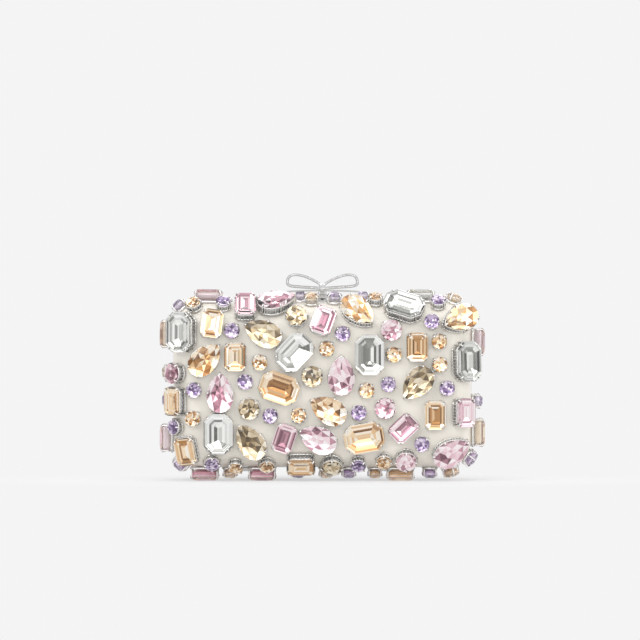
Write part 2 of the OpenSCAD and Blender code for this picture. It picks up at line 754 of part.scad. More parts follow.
module hinge_pins() {
    color("gainsboro")
        for (side = [-1, 1])
            translate([side * hinge_x - hinge_len / 2, 0, hinge_z])
                rotate([0, 90, 0])
                    cylinder(r = hinge_pin_r, h = hinge_len, $fn = 24);
}

module slip_pocket() {
    back = half_depth - wall - fit - lining_t - fit;
    color("thistle")
        translate([-pocket_w / 2, back - pocket_depth, case_z + pocket_rise])
            difference() {
                cube([pocket_w, pocket_depth, pocket_h]);
                translate([hem_w, pocket_t, hem_w])
                    cube([pocket_w - 2 * hem_w, pocket_depth, pocket_h]);
            }
}

// Keeper: an upright plate with two slots on a foot that is riveted to the front band
module keeper() {
    inner = keeper_front - keeper_t;
    slot_w = keeper_w - 2 * keeper_t;
    color("silver")
        difference() {
            union() {
                translate([-keeper_w / 2, -keeper_front, band_top])
                    cube([keeper_w, keeper_t, keeper_h]);
                translate([-keeper_w / 2, -inner, band_top])
                    cube([keeper_w, inner - seam_gap, keeper_t]);
            }
            translate([-slot_w / 2, -keeper_front - overrun, slot_low])
                cube([slot_w, keeper_t + 2 * overrun, slot_h]);
            translate([-slot_w / 2, -keeper_front - overrun, band_top + keeper_t + flex_slot_h / 2])
                cube([slot_w, keeper_t + 2 * overrun, flex_slot_h]);
            translate([0, -seam_gap - band_w / 2, band_top - overrun])
                cylinder(r = rivet_r + pin_gap, h = keeper_t + 2 * overrun, $fn = 24);
        }
}

module rivet(grip) {
    translate([0, 0, -wall + 2 * fit])
        cylinder(r = rivet_r, h = wall - 2 * fit + grip, $fn = 24);
    translate([0, 0, grip])
        cylinder(r1 = rivet_head_r, r2 = rivet_r, h = rivet_head_h, $fn = 24);
}

module keeper_rivet() {
    color("gainsboro")
        translate([0, -seam_gap - band_w / 2, band_top])
            rivet(keeper_t);
}

module base_rivets() {
    color("gainsboro")
        for (i = [-1, 1])
            translate([i * base_rivet_x, seam_gap + band_w / 2, band_top])
                rivet(base_t);
}

// Clasp base: a plate on the back band with two ears that hold the pin
ear_r = 1.5;
module clasp_base() {
    depth = pivot_y + ear_r + fit;
    color("silver")
        difference() {
            union() {
                translate([-base_w / 2, seam_gap, band_top])
                    cube([base_w, depth, base_t]);
                for (side = [-1, 1])
                    translate([side * (rocker_w / 2 + fit + ear_t / 2), pivot_y, 0]) {
                        translate([-ear_t / 2, 0, pivot_z])
                            rotate([0, 90, 0])
                                cylinder(r = ear_r, h = ear_t);
                        translate([-ear_t / 2, -ear_r, band_top + base_t / 2])
                            cube([ear_t, 2 * ear_r, pivot_z - band_top - base_t / 2]);
                    }
            }
            translate([-base_w, pivot_y, pivot_z])
                rotate([0, 90, 0])
                    cylinder(r = clasp_pin_r + pin_gap, h = 2 * base_w, $fn = 24);
            for (i = [-1, 1])
                translate([i * base_rivet_x, seam_gap + band_w / 2, band_top - overrun])
                    cylinder(r = rivet_r + pin_gap, h = base_t + 2 * overrun, $fn = 24);
        }
}

module clasp_pin() {
    length = rocker_w + 2 * fit + 2 * ear_t;
    color("gainsboro")
        translate([-length / 2, pivot_y, pivot_z])
            rotate([0, 90, 0])
                cylinder(r = clasp_pin_r, h = length, $fn = 24);
}

// Rocker, drawn from the side: hub, tongue with its barb, post under the knot, and heel
hub_r = 1.35;
post_t = 1.6;
heel_reach = 1.9;
module rocker() {
    barb_rear = keeper_front + fit;
    barb_tip = barb_rear + barb_h;
    tongue_top = tongue_low + tongue_t;
    color("silver")
        translate([rocker_w / 2, 0, 0])
            rotate([90, 0, -90])
                linear_extrude(rocker_w)
                    difference() {
                        union() {
                            translate([-pivot_y, pivot_z])
                                circle(hub_r);
                            polygon([
                                [-pivot_y - hub_r / 2, pivot_z],
                                [-pivot_y + hub_r, pivot_z], [-pivot_y + hub_r, tongue_low],
                                [barb_rear, tongue_low], [barb_rear, tongue_low - barb_h],
                                [barb_tip, tongue_low - barb_h / 3], [barb_tip, tongue_top],
                                [post_t / 2, tongue_top], [post_t / 2, knot_mid - knot_h / 2],
                                [-post_t / 2, knot_mid - knot_h / 2], [-pivot_y - hub_r, tongue_low],
                                [-pivot_y - hub_r, pivot_z]
                            ]);
                            translate([-pivot_y - hub_r - heel_reach, pivot_z - tongue_t / 2])
                                square([heel_reach + hub_r / 2, tongue_t]);
                        }
                        translate([-pivot_y, pivot_z])
                            circle(clasp_pin_r + pin_gap, $fn = 24);
                    }
}

// Return spring: a bent strip under the heel, standing on the clasp base
module return_spring() {
    low = band_top + base_t;
    high = pivot_z - tongue_t / 2 - pin_gap;
    foot = pivot_y + 0.3 * hub_r;
    back = pivot_y + ear_r;
    tip = pivot_y + hub_r + heel_reach;
    color("gainsboro")
        translate([rocker_w / 2 - fit, 0, 0])
            rotate([90, 0, -90])
                linear_extrude(rocker_w - 2 * fit)
                    polygon([
                        [-foot, low], [-back, low], [-tip, high - spring_t], [-tip, high],
                        [-tip + spring_t, high], [-back, low + 1.5 * spring_t],
                        [-foot, low + spring_t]
                    ]);
}

// Curve through four control points
function bezier(p, t) =
    pow(1 - t, 3) * p[0] + 3 * t * pow(1 - t, 2) * p[1] + 3 * t * t * (1 - t) * p[2]
    + pow(t, 3) * p[3];
function bow_places(shares) = [for (s = shares) [s[0] * bow_w / 2, s[1] * bow_rise]];
function curve(shares) = let (p = bow_places(shares))
    [for (i = [0:curve_steps]) bezier(p, i / curve_steps)];
// Line moved sideways, to the left for a positive distance
function moved(line, distance) = let (n = len(line)) [
    for (i = [0:n - 1])
        let (
            along = line[min(i + 1, n - 1)] - line[max(i - 1, 0)],
            side = [-along[1], along[0]] / norm(along)
        )
        line[i] + distance * side
];
function reversed(line) = [for (i = [len(line) - 1:-1:0]) line[i]];

module ribbon(line, t) {
    polygon(concat(moved(line, t / 2), reversed(moved(line, -t / 2))));
}

// Draws across and up from the knot's middle, and builds a depth about the seam
module bow_plane(depth) {
    translate([0, depth / 2, knot_mid])
        rotate([90, 0, 0])
            linear_extrude(depth)
                children();
}

module outside_knot() {
    translate([knot_w / 2, -2 * bow_rise])
        square([bow_w, 4 * bow_rise]);
}

module bow_loop(side) {
    low = curve(loop_low_shares);
    line = concat(curve(loop_top_shares), [for (i = [1:curve_steps]) low[i]]);
    color("silver")
        mirror([side == "left" ? 1 : 0, 0, 0])
            bow_plane(ribbon_w)
                intersection() {
                    ribbon(line, ribbon_t);
                    outside_knot();
                }
}

module bow_tails() {
    color("silver")
        for (side = [0, 1])
            mirror([side, 0, 0])
                bow_plane(ribbon_w)
                    intersection() {
                        ribbon(curve(tail_shares), tail_t);
                        outside_knot();
                    }
}

module bow_knot() {
    color("silver")
        translate([0, 0, knot_mid])
            intersection() {
                cube([knot_w, knot_d, knot_h], center = true);
                cylinder(r = norm([knot_w, knot_d]) / 2 - fit, h = knot_h, center = true);
            }
}

// Its stones lie opposite those of the front, so their places are mirrored before that turn
function mirrored(s) = [s[0], BACK_COLOURS[s[1]], -s[2], s[3], 180 - s[4], s[5]];
function places(name) = name == "back" ? [for (s = all_shares) mirrored(s)] : all_shares;

// All stones of one colour on one half, the feet apart from the rest
module stones(name, colour, feet) {
    color(PAINTS[colour])
        half(name)
            for (s = places(name))
                if (s[1] == colour && is_foot(s) == feet)
                    seat(s)
                        stone(s[0]);
}

module settings(name, side) {
    color("silver")
        half(name)
            for (s = places(name))
                if (side_of(s) == side)
                    seat(s)
                        setting(s[0]);
}

HALVES = ["front", "back"];
SIDES = ["face", "top", "bottom", "left", "right"];
FOOT_COLOURS = [PEACH, ROSE];

shell();  // front_shell
half("back") shell();  // back_shell
frame("front");  // front_frame
half("back") frame("back");  // back_frame
lining();  // front_lining
half("back") lining();  // back_lining
slip_pocket();
color("silver") hinge_leaf(1);  // front_hinge_leaves
color("silver") half("back") hinge_leaf(0);  // back_hinge_leaves
leaf_rivets();  // front_leaf_rivets
half("back") leaf_rivets();  // back_leaf_rivets
hinge_pins();
keeper();
keeper_rivet();
clasp_base();
base_rivets();
clasp_pin();
rocker();  // clasp_rocker
return_spring();
bow_loop("left");  // bow_loop_left
bow_loop("right");  // bow_loop_right
bow_knot();
bow_tails();
for (name = HALVES, side = SIDES)
    settings(name, side);
for (name = HALVES, colour = [LAVENDER:CRYSTAL])
    stones(name, colour, false);
for (name = HALVES, colour = FOOT_COLOURS)
    stones(name, colour, true);
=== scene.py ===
import json
import math
import random

import bmesh
import bpy
import numpy as np
from mathutils import Matrix, Vector


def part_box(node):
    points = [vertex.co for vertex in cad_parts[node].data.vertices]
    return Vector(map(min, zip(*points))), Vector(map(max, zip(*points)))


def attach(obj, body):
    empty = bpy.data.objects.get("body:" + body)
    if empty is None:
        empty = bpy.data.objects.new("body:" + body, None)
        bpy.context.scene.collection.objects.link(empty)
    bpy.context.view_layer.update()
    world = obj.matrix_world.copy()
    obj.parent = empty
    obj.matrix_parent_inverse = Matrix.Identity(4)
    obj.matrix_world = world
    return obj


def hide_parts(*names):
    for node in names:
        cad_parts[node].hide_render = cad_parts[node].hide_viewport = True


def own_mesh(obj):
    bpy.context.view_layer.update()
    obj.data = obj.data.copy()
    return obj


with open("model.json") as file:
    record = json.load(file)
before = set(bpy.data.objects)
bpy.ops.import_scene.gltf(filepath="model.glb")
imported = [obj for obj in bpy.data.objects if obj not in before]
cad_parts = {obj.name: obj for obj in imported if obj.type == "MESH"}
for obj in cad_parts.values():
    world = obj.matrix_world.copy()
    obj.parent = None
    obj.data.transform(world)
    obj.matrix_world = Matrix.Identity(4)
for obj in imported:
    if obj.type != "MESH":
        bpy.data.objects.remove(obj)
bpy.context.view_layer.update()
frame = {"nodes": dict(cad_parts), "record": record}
nodes = frame["nodes"]
MM = 0.001
HALVES = ("front", "back")
SIDES = ("face", "top", "bottom", "left", "right")
COLOURS = ("lavender", "peach", "rose", "khaki", "crystal")

# Camera: level and straight on, with a long lens, as the photograph was taken
DISTANCE = 2.4
VIEW_WIDTH = 0.352
VIEW_X, VIEW_Y, VIEW_Z = -0.0013, -0.012, 0.0883
SENSOR = 36
scene = bpy.context.scene
scene.view_settings.view_transform = "Standard"
cam_data = bpy.data.cameras.new("camera")
cam = bpy.data.objects.new("camera", cam_data)
scene.collection.objects.link(cam)
cam.location = (VIEW_X, VIEW_Y - DISTANCE, VIEW_Z)
cam.rotation_euler = (math.radians(90), 0, 0)
cam_data.sensor_width = SENSOR
cam_data.lens = SENSOR * DISTANCE / VIEW_WIDTH
cam_data.clip_end = 50
scene.camera = cam

# Shader helpers
SHADER = "Principled BSDF"
SOCKETS = {
    "ior": "IOR", "coat": "Coat Weight", "coat_rough": "Coat Roughness", "sheen": "Sheen Weight",
    "sheen_rough": "Sheen Roughness", "transmission": "Transmission Weight",
    "specular": "Specular IOR Level",
}
NOISE_ROUGH = 0.55


def material(name, colour, rough, metal=0.0, **more):
    """A new material, with constants on its shader's own sockets."""
    m = bpy.data.materials.new(name)
    m.use_nodes = True
    m.diffuse_color = (*colour, 1)
    sockets = m.node_tree.nodes[SHADER].inputs
    sockets["Base Color"].default_value = (*colour, 1)
    sockets["Roughness"].default_value = rough
    sockets["Metallic"].default_value = metal
    for key, value in more.items():
        sockets[SOCKETS[key]].default_value = value
    return m


def add(tree, kind, inputs=None, **props):
    """A new node. An input gets a value, or a link from another node's output."""
    n = tree.nodes.new(kind)
    for key, value in props.items():
        setattr(n, key, value)
    for key, value in (inputs or {}).items():
        if isinstance(value, bpy.types.NodeSocket):
            tree.links.new(value, n.inputs[key])
        else:
            n.inputs[key].default_value = value
    return n


def maths(tree, operation, a, b=0.0):
    return add(tree, "ShaderNodeMath", {0: a, 1: b}, operation=operation).outputs[0]


def own_place(tree):
    return add(tree, "ShaderNodeTexCoord").outputs["Object"]


def noise(m, scale, detail, stretch=None):
    """Noise in the object's own space, squeezed along its axes where stretch says so."""
    at = own_place(m.node_tree)
    if stretch:
        at = add(m.node_tree, "ShaderNodeMapping", {"Scale": stretch, "Vector": at}).outputs[0]
    values = {"Scale": scale, "Detail": detail, "Roughness": NOISE_ROUGH, "Vector": at}
    return add(m.node_tree, "ShaderNodeTexNoise", values).outputs["Fac"]


def painted_facet_light(m):
    """The painted light that each facet carries, from 0 for a facet painted dark as shade to 1 for one
    painted pale as a reflection.
    """
    return add(m.node_tree, "ShaderNodeAttribute", attribute_name="facet").outputs["Fac"]


def greys(*stops):
    return [(at, (v, v, v)) for at, v in stops]


def vary(m, socket, factor, stops):
    """Lets a socket of the shader follow the factor through a ramp of colours."""
    n = add(m.node_tree, "ShaderNodeValToRGB", {"Fac": factor})
    marks = n.color_ramp.elements
    while len(marks) < len(stops):
        marks.new(0.5)
    for mark, (at, colour) in zip(marks, stops):
        mark.position = at
        mark.color = (*colour, 1)
    m.node_tree.links.new(n.outputs["Color"], m.node_tree.nodes[SHADER].inputs[socket])


def bump(m, height, strength, distance):
    values = {"Strength": strength, "Distance": distance, "Height": height}
    n = add(m.node_tree, "ShaderNodeBump", values)
    m.node_tree.links.new(n.outputs["Normal"], m.node_tree.nodes[SHADER].inputs["Normal"])


def metal(name, colour, rough, texture, *stops, share=1.0):
    """Metal whose roughness drifts over a noise of (scale, detail, stretch)."""
    m = material(name, colour, rough, share)
    vary(m, "Roughness", noise(m, *texture), greys(*stops))
    return m


# Ivory lacquer: pale body, faint clouding, clear coat with a little orange peel
lacquer = material("ivory_lacquer", (0.87, 0.825, 0.745), rough=0.42, coat=0.6, coat_rough=0.12)
vary(lacquer, "Base Color", noise(lacquer, 38, 5),
     [(0.3, (0.85, 0.805, 0.725)), (0.7, (0.89, 0.845, 0.765))])
bump(lacquer, noise(lacquer, 900, 3), 0.05, 0.0002)

# Polished silver plate: small changes in roughness, hairlines
silver = metal("polished_silver", (0.72, 0.715, 0.70), 0.18, (420, 5), (0.35, 0.12), (0.75, 0.28))
vary(silver, "Base Color", noise(silver, 90, 4, (1, 8, 8)),
     [(0.3, (0.66, 0.655, 0.64)), (0.7, (0.77, 0.765, 0.75))])
bump(silver, noise(silver, 1500, 3, (0.2, 1, 1)), 0.08, 0.0001)

# Cups and claws: a brighter plate, unevenly worn, and a darker skin inside of painted shade
cup_silver = metal("setting_silver", (0.84, 0.83, 0.81), 0.16, (700, 4), (0.3, 0.1), (0.75, 0.3))
vary(cup_silver, "Base Color", noise(cup_silver, 260, 3),
     [(0.3, (0.78, 0.77, 0.75)), (0.65, (0.90, 0.89, 0.87))])
# Painted shade: an unevenly darker silver for the skin that stands in for the shade inside the cups
painted_shade_silver = material("gallery_shadow", (0.52, 0.51, 0.50), rough=0.35, metal=1.0)
vary(painted_shade_silver, "Base Color", noise(painted_shade_silver, 500, 4),
     [(0.3, (0.40, 0.395, 0.39)), (0.7, (0.62, 0.61, 0.6))])

# Silver of the bow: bright faces, bevels painted darker as shade, satin broad sides,
# and the small stones' foil, its facets in painted shade and painted glints
bow_silver = metal("bow_silver", (0.76, 0.755, 0.745), 0.07, (600, 4), (0.35, 0.05), (0.75, 0.11))
bump(bow_silver, noise(bow_silver, 1800, 3), 0.03, 0.00005)
# Painted shade: the bevels take a darker copy of the bow's silver
edge_shade_silver = metal("bow_edge_shade_silver", (0.46, 0.46, 0.455), 0.22, (500, 4), (0.3, 0.16), (0.7, 0.3))
side_silver = metal("bow_side_silver", (0.78, 0.775, 0.76), 0.36, (300, 5, (1, 0.2, 1)),
                    (0.3, 0.28), (0.7, 0.44), share=0.75)
pave = material("bow_stones", (0.72, 0.73, 0.72), rough=0.05, metal=1.0, coat=1.0, coat_rough=0.02)
# Painted light: the small stones' facets grey from painted shade to painted glints
vary(pave, "Base Color", painted_facet_light(pave), greys((0.3, 0.42), (0.65, 0.68), (1.0, 0.9)))
bow_looks = [bow_silver, pave, edge_shade_silver, side_silver]

# Clasp and keeper: nickel silver, a little darker than the bow
clasp_silver = metal("clasp_silver", (0.44, 0.435, 0.42), 0.2, (500, 4), (0.3, 0.16), (0.7, 0.3))
bump(clasp_silver, noise(clasp_silver, 1400, 3), 0.05, 0.0001)

# Steel of the pins, rivets and return spring, lightly brushed
steel = metal("fastener_steel", (0.58, 0.58, 0.58), 0.32, (900, 4, (1, 6, 1)), (0.3, 0.24),
              (0.7, 0.42))

# Satin of the linings and the pocket: fine weave and a soft sheen
satin = material("lining_satin", (0.72, 0.66, 0.58), rough=0.42, sheen=0.5, sheen_rough=0.35)
threads = {"Scale": 1400, "Vector": own_place(satin.node_tree)}
weave = add(satin.node_tree, "ShaderNodeTexWave", threads, wave_type="BANDS", bands_direction="X")
bump(satin, weave.outputs["Fac"], 0.15, 0.00006)
vary(satin, "Base Color", noise(satin, 60, 4), [(0.3, (0.68, 0.62, 0.54)), (0.7, (0.76, 0.70, 0.62))])

# Glass: a tinted clear crown; the deep back of the stone, which shows only from the side, painted pale
# for the light seen through real glass; that back for stones under the case, a richer copy painted in
# for the coloured light through the glass; and the four colours of the foil below the crown, from dark
# to pale, painted shade and painted reflections on its facets
FOIL_STOPS = (0.0, 0.3, 0.65, 1.0)
GLASS = {
    "lavender": ((0.93, 0.885, 0.925), (0.84, 0.76, 0.94), (0.70, 0.50, 0.84), (0.06, 0.03, 0.11),
                 (0.30, 0.21, 0.40), (0.60, 0.50, 0.68), (0.93, 0.89, 0.95)),
    "peach": ((0.98, 0.93, 0.865), (0.99, 0.83, 0.64), (0.97, 0.62, 0.36), (0.22, 0.09, 0.02),
              (0.70, 0.40, 0.165), (0.94, 0.76, 0.53), (1.0, 1.0, 0.96)),
    "rose": ((0.98, 0.92, 0.93), (0.98, 0.80, 0.85), (0.95, 0.50, 0.60), (0.17, 0.07, 0.10),
             (0.70, 0.40, 0.48), (0.94, 0.79, 0.825), (1.0, 1.0, 0.995)),
    "khaki": ((0.95, 0.905, 0.82), (0.88, 0.79, 0.60), (0.75, 0.60, 0.36), (0.05, 0.03, 0.01),
              (0.32, 0.235, 0.125), (0.72, 0.60, 0.425), (1.0, 0.97, 0.885)),
    "crystal": ((0.985, 0.985, 0.975), (0.95, 0.95, 0.93), (0.86, 0.86, 0.84), (0.13, 0.13, 0.12),
                (0.48, 0.48, 0.455), (0.80, 0.80, 0.78), (1.0, 1.0, 0.985)),
}
# How much the back's facets are painted darker as shade and paler as reflections
DARKER = 0.62
PALER = 0.45


def back_glass(name, colour):
    """Facets of a stone's back: glossy, each with its own share of the colour, some painted darker as
    shade and some paler as reflections.
    """
    m = material(name, colour, rough=0.15, transmission=0.12, ior=1.45, coat=1.0, coat_rough=0.03)
    dark = [DARKER * v for v in colour]
    pale = [PALER * v + (1 - PALER) for v in colour]
    vary(m, "Base Color", painted_facet_light(m), [(0, dark), (0.4, colour), (0.75, colour), (1, pale)])
    return m


gem_materials = {}
# Each colour's back is painted pale for the light seen through real glass; its copy for stones under
# the case, deep, is painted richer for the coloured light through it
for colour, (clear, back, deep, *painted_foil_tones) in GLASS.items():
    crown = material(colour + "_glass", clear, rough=0.0, transmission=1.0, ior=1.32, coat=1.0,
                     coat_rough=0.0)
    # Foil: its facets painted from dark shade to pale reflection through the four colours
    foil = material(colour + "_foil", painted_foil_tones[2], rough=0.04, metal=1.0)
    vary(foil, "Base Color", painted_facet_light(foil), list(zip(FOIL_STOPS, painted_foil_tones)))
    gem_materials[colour] = (crown, foil, back_glass(colour + "_back", back),
                             back_glass(colour + "_lit_through", deep))


# Mesh helpers
def make_object(name, verts, faces, materials, index=None, facet=None, smooth=False, solid=True):
    me = bpy.data.meshes.new(name)
    me.from_pydata([tuple(v) for v in verts], [], faces)
    for m in materials:
        me.materials.append(m)
    if index is not None:
        me.polygons.foreach_set("material_index", index)
    if facet is not None:
        a = me.attributes.new("facet", "FLOAT", "FACE")
        a.data.foreach_set("value", facet)
    me.polygons.foreach_set("use_smooth", [smooth] * len(faces))
    me.update()
    if solid:
        bm = bmesh.new()
        bm.from_mesh(me)
        bmesh.ops.recalc_face_normals(bm, faces=bm.faces)
        bm.to_mesh(me)
        bm.free()
    o = bpy.data.objects.new(name, me)
    scene.collection.objects.link(o)
    return o


def thicken(o, thickness):
    modifier = o.modifiers.new("thickness", "SOLIDIFY")
    modifier.thickness = thickness
    modifier.offset = 0


def ring_faces(n, m, closed=True):
    """Faces between n rings of m points, and from the last ring to the first if it is closed."""
    return [[i * m + j, (i + 1) % n * m + j, (i + 1) % n * m + (j + 1) % m, i * m + (j + 1) % m]
            for i in range(n if closed else n - 1) for j in range(m)]


def bar_faces(n, m):
    """Faces of a solid bar with n sections of m points."""
    faces = [[i * m + j, i * m + (j + 1) % m, (i + 1) * m + (j + 1) % m, (i + 1) * m + j]
             for i in range(n - 1) for j in range(m)]
    return faces + [list(range(m))[::-1], [(n - 1) * m + j for j in range(m)]]


class Pile:
    """Gathers many small forms into one mesh."""

    def __init__(self):
        self.verts, self.faces, self.index, self.facet = [], [], [], []

    def add(self, verts, faces, matrix, index=0, facet=0.5):
        start = len(self.verts)
        self.verts += [matrix @ Vector(v) for v in verts]
        self.faces += [[start + i for i in f] for f in faces]
        n = len(faces)
        self.index += index if isinstance(index, list) else [index] * n
        self.facet += facet if isinstance(facet, list) else [facet] * n


# Stones as the frame holds them: how many corners a stone has tells its cut
CUTS = {25: "round", 32: "octagon", 37: "pear"}
# A stone's point stands this high over the foot of its cup
TIP_HEIGHT = 0.8 * MM
SAME_LEVEL = 0.02 * MM
NO_AREA = 1e-12


def islands(node):
    """Corners and triangles of each separate stone in a node."""
    me = node.data
    co = np.array([v.co for v in me.vertices])
    _, first, same = np.unique(np.round(co, 6), axis=0, return_index=True, return_inverse=True)
    same = same.reshape(-1)
    pts = co[first]
    parent = list(range(len(pts)))

    def root(i):
        while parent[i] != i:
            parent[i] = parent[parent[i]]
            i = parent[i]
        return i

    tris = [[same[i] for i in p.vertices] for p in me.polygons]
    for tri in tris:
        for i in tri[1:]:
            parent[root(i)] = root(tri[0])
    groups = {}
    for i in range(len(pts)):
        groups.setdefault(root(i), []).append(i)
    faces = {}
    for tri in tris:
        faces.setdefault(root(tri[0]), []).append(tri)
    for r, members in sorted(groups.items()):
        yield pts[members], [[pts[i] for i in tri] for tri in faces[r]]


def levels(pts, n):
    """Numbers of the points, gathered by their height along n, the highest first."""
    h = pts @ n
    out = []
    for i in np.argsort(-h):
        if out and abs(h[i] - h[out[-1][0]]) < SAME_LEVEL:
            out[-1].append(i)
        else:
            out.append([i])
    return out


def plane_xy(v, n):
    """Place of v in a plane across n; any fixed pair of axes will do."""
    a = np.cross(n, [0.3, 0.9, 0.2])
    a /= np.linalg.norm(a)
    c = np.cross(n, a)
    return float(v @ a), float(v @ c)


def stone_rows(kind, pts, tris):
    """The way a stone faces, and its corners by level: table, girdle's top and foot, keel or tip."""
    ring = 12 if kind == "pear" else 8
    want = [ring, ring, ring, 8 if kind == "octagon" else 1]
    for tri in tris:
        n = np.cross(tri[1] - tri[0], tri[2] - tri[0])
        size = np.linalg.norm(n)
        if size < NO_AREA:
            continue
        for sign in (1, -1):
            rows = levels(pts, sign * n / size)
            if [len(row) for row in rows] != want:
                continue
            if np.ptp(pts[rows[0]], 0).sum() > np.ptp(pts[rows[3]], 0).sum():
                return sign * n / size, rows
    raise ValueError("a stone without its four levels")


def read_stone(pts, tris):
    """Cut, place, axes, size and heights of one stone."""
    kind = CUTS[len(pts)]
    n, rows = stone_rows(kind, pts, tris)
    table_z, top_z, low_z, tip_z = (float(np.mean(pts[row] @ n)) for row in rows)
    girdle = pts[rows[1]]
    centre = girdle.mean(0)
    corner = 0
    if kind == "octagon":
        # the longest edge between neighbouring corners gives the direction of the long sides
        turn = sorted(range(8), key=lambda i: math.atan2(*plane_xy(girdle[i] - centre, n)))
        edges = [girdle[turn[(i + 1) % 8]] - girdle[turn[i]] for i in range(8)]
        along = max(edges, key=np.linalg.norm)
        corner = np.linalg.norm(min(edges, key=np.linalg.norm)) / 2 ** 0.5
    elif kind == "pear":
        centre = pts[rows[3][0]] + n * (top_z - tip_z)
        along = max(girdle - centre, key=np.linalg.norm)
    else:
        along = girdle[0] - centre
    x = along / np.linalg.norm(along)
    y = np.cross(n, x)
    rel = girdle - centre
    # a pear points along its x, with most of its width behind the middle
    if kind == "pear" and np.sum(np.sign(rel @ x) * np.abs(rel @ y)) > 0:
        x, y = -x, -y
    return dict(
        cut=kind, x=x, y=y, n=n, base=centre - n * (top_z - tip_z + TIP_HEIGHT),
        length=float(np.ptp(rel @ x)), width=float(np.ptp(rel @ y)), corner=corner,
        table=table_z - tip_z + TIP_HEIGHT, top=top_z - tip_z + TIP_HEIGHT,
        low=low_z - tip_z + TIP_HEIGHT, tip=TIP_HEIGHT,
    )


stones = []
for half in HALVES:
    for colour in COLOURS:
        for kind in ("stones", "feet"):
            name = "%s_%s_%s" % (half, colour, kind)
            if name not in nodes:
                continue
            for pts, tris in islands(nodes[name]):
                s = read_stone(pts, tris)
                s.update(node=name, half=half, colour=colour)
                stones.append(s)

# No two stones sit quite alike: each leans a little with its cup, the smaller ones more and those
# on the edges less. The ones that the case stands on don't lean.
LEAN = 3.8
LEAN_RISE = 0.45 * MM
EDGE_FACING = 0.75
EDGE_LEAN = 0.25
lean_rng = random.Random(3)
for s in stones:
    most = min(LEAN, math.degrees(math.atan(2 * LEAN_RISE / s["length"])))
    if abs(s["n"][1]) < EDGE_FACING:
        most *= EDGE_LEAN
    s["lean"] = [0 if "feet" in s["node"] else lean_rng.uniform(-most, most) for _ in "xy"]

# Each stone's cup belongs to the nearest of its half's five setting nodes
CUP_PROBE = 0.3 * MM
for half in HALVES:
    clouds = {}
    for side in SIDES:
        name = "%s_%s_settings" % (half, side)
        clouds[name] = np.array([v.co for v in nodes[name].data.vertices])
    for s in stones:
        if s["half"] == half:
            at = s["base"] + s["n"] * CUP_PROBE
            gaps = {k: np.min(np.linalg.norm(v - at, axis=1)) for k, v in clouds.items()}
            s["cup_node"] = min(gaps, key=gaps.get)

# Outlines of the cuts at the girdle
LEAST_CORNER = 0.01 * MM


def octagon_outline(l, w, c):
    return [(l / 2, -w / 2 + c), (l / 2, w / 2 - c), (l / 2 - c, w / 2), (-l / 2 + c, w / 2),
            (-l / 2, w / 2 - c), (-l / 2, -w / 2 + c), (-l / 2 + c, -w / 2), (l / 2 - c, -w / 2)]


def octagon_in(l, w, c, inset):
    """The same octagon, moved in on every side."""
    corner = max(c - inset * (2 - 2 ** 0.5), LEAST_CORNER)
    return octagon_outline(l - 2 * inset, w - 2 * inset, corner)


# A pear drawn out to its tip by a power of the half angle's sine, as in the frame
PEAR_POWER = 0.45
PEAR_FULL = (2 * (1 / (2 + PEAR_POWER)) ** 0.5
             * ((1 + PEAR_POWER) / (2 + PEAR_POWER)) ** ((1 + PEAR_POWER) / 2))


def pear_at(l, w, t):
    half_sine = abs(math.sin(t / 2)) ** PEAR_POWER
    return (l / 2 * math.cos(t), w / 2 * math.sin(t) * half_sine / PEAR_FULL)


def round_at(l, w, t):
    return (l / 2 * math.cos(t), w / 2 * math.sin(t))


OUTLINES = {"round": round_at, "pear": pear_at}

# The deep back keeps this far below the foil
SUNK = 0.05 * MM
SUNK_SHARE = 0.995


def bowl(half_w, rings):
    """Depths of the foil below the girdle, one for each ring of (share of half_w, slope)."""
    out = []
    z = 0.0
    last = 1.0
    for share, slope in rings:
        z += (last - share) * half_w * math.tan(math.radians(slope))
        last = share
        out.append(z)
    return out


def sunk(verts):
    return [(x * SUNK_SHARE, y * SUNK_SHARE, z - SUNK) for x, y, z in verts]


# Brilliant cut: rings are shares of the girdle, and heights of the crown or the depth below it. The
# foil's rings have a slope in degrees, the back's a turn, points for each main facet and a depth.
MAINS = 8
TABLE_SHARE = 0.56
STAR_SHARE = 0.79
STAR_RISE = 0.6
FOIL_RINGS = ((0.68, -6), (0.34, 6), (0, 4))
FOIL_UNEVEN = 0.024
BACK_RINGS = ((0.95, 0, 2, 0.3), (0.74, 0.5, 1, 0.62))


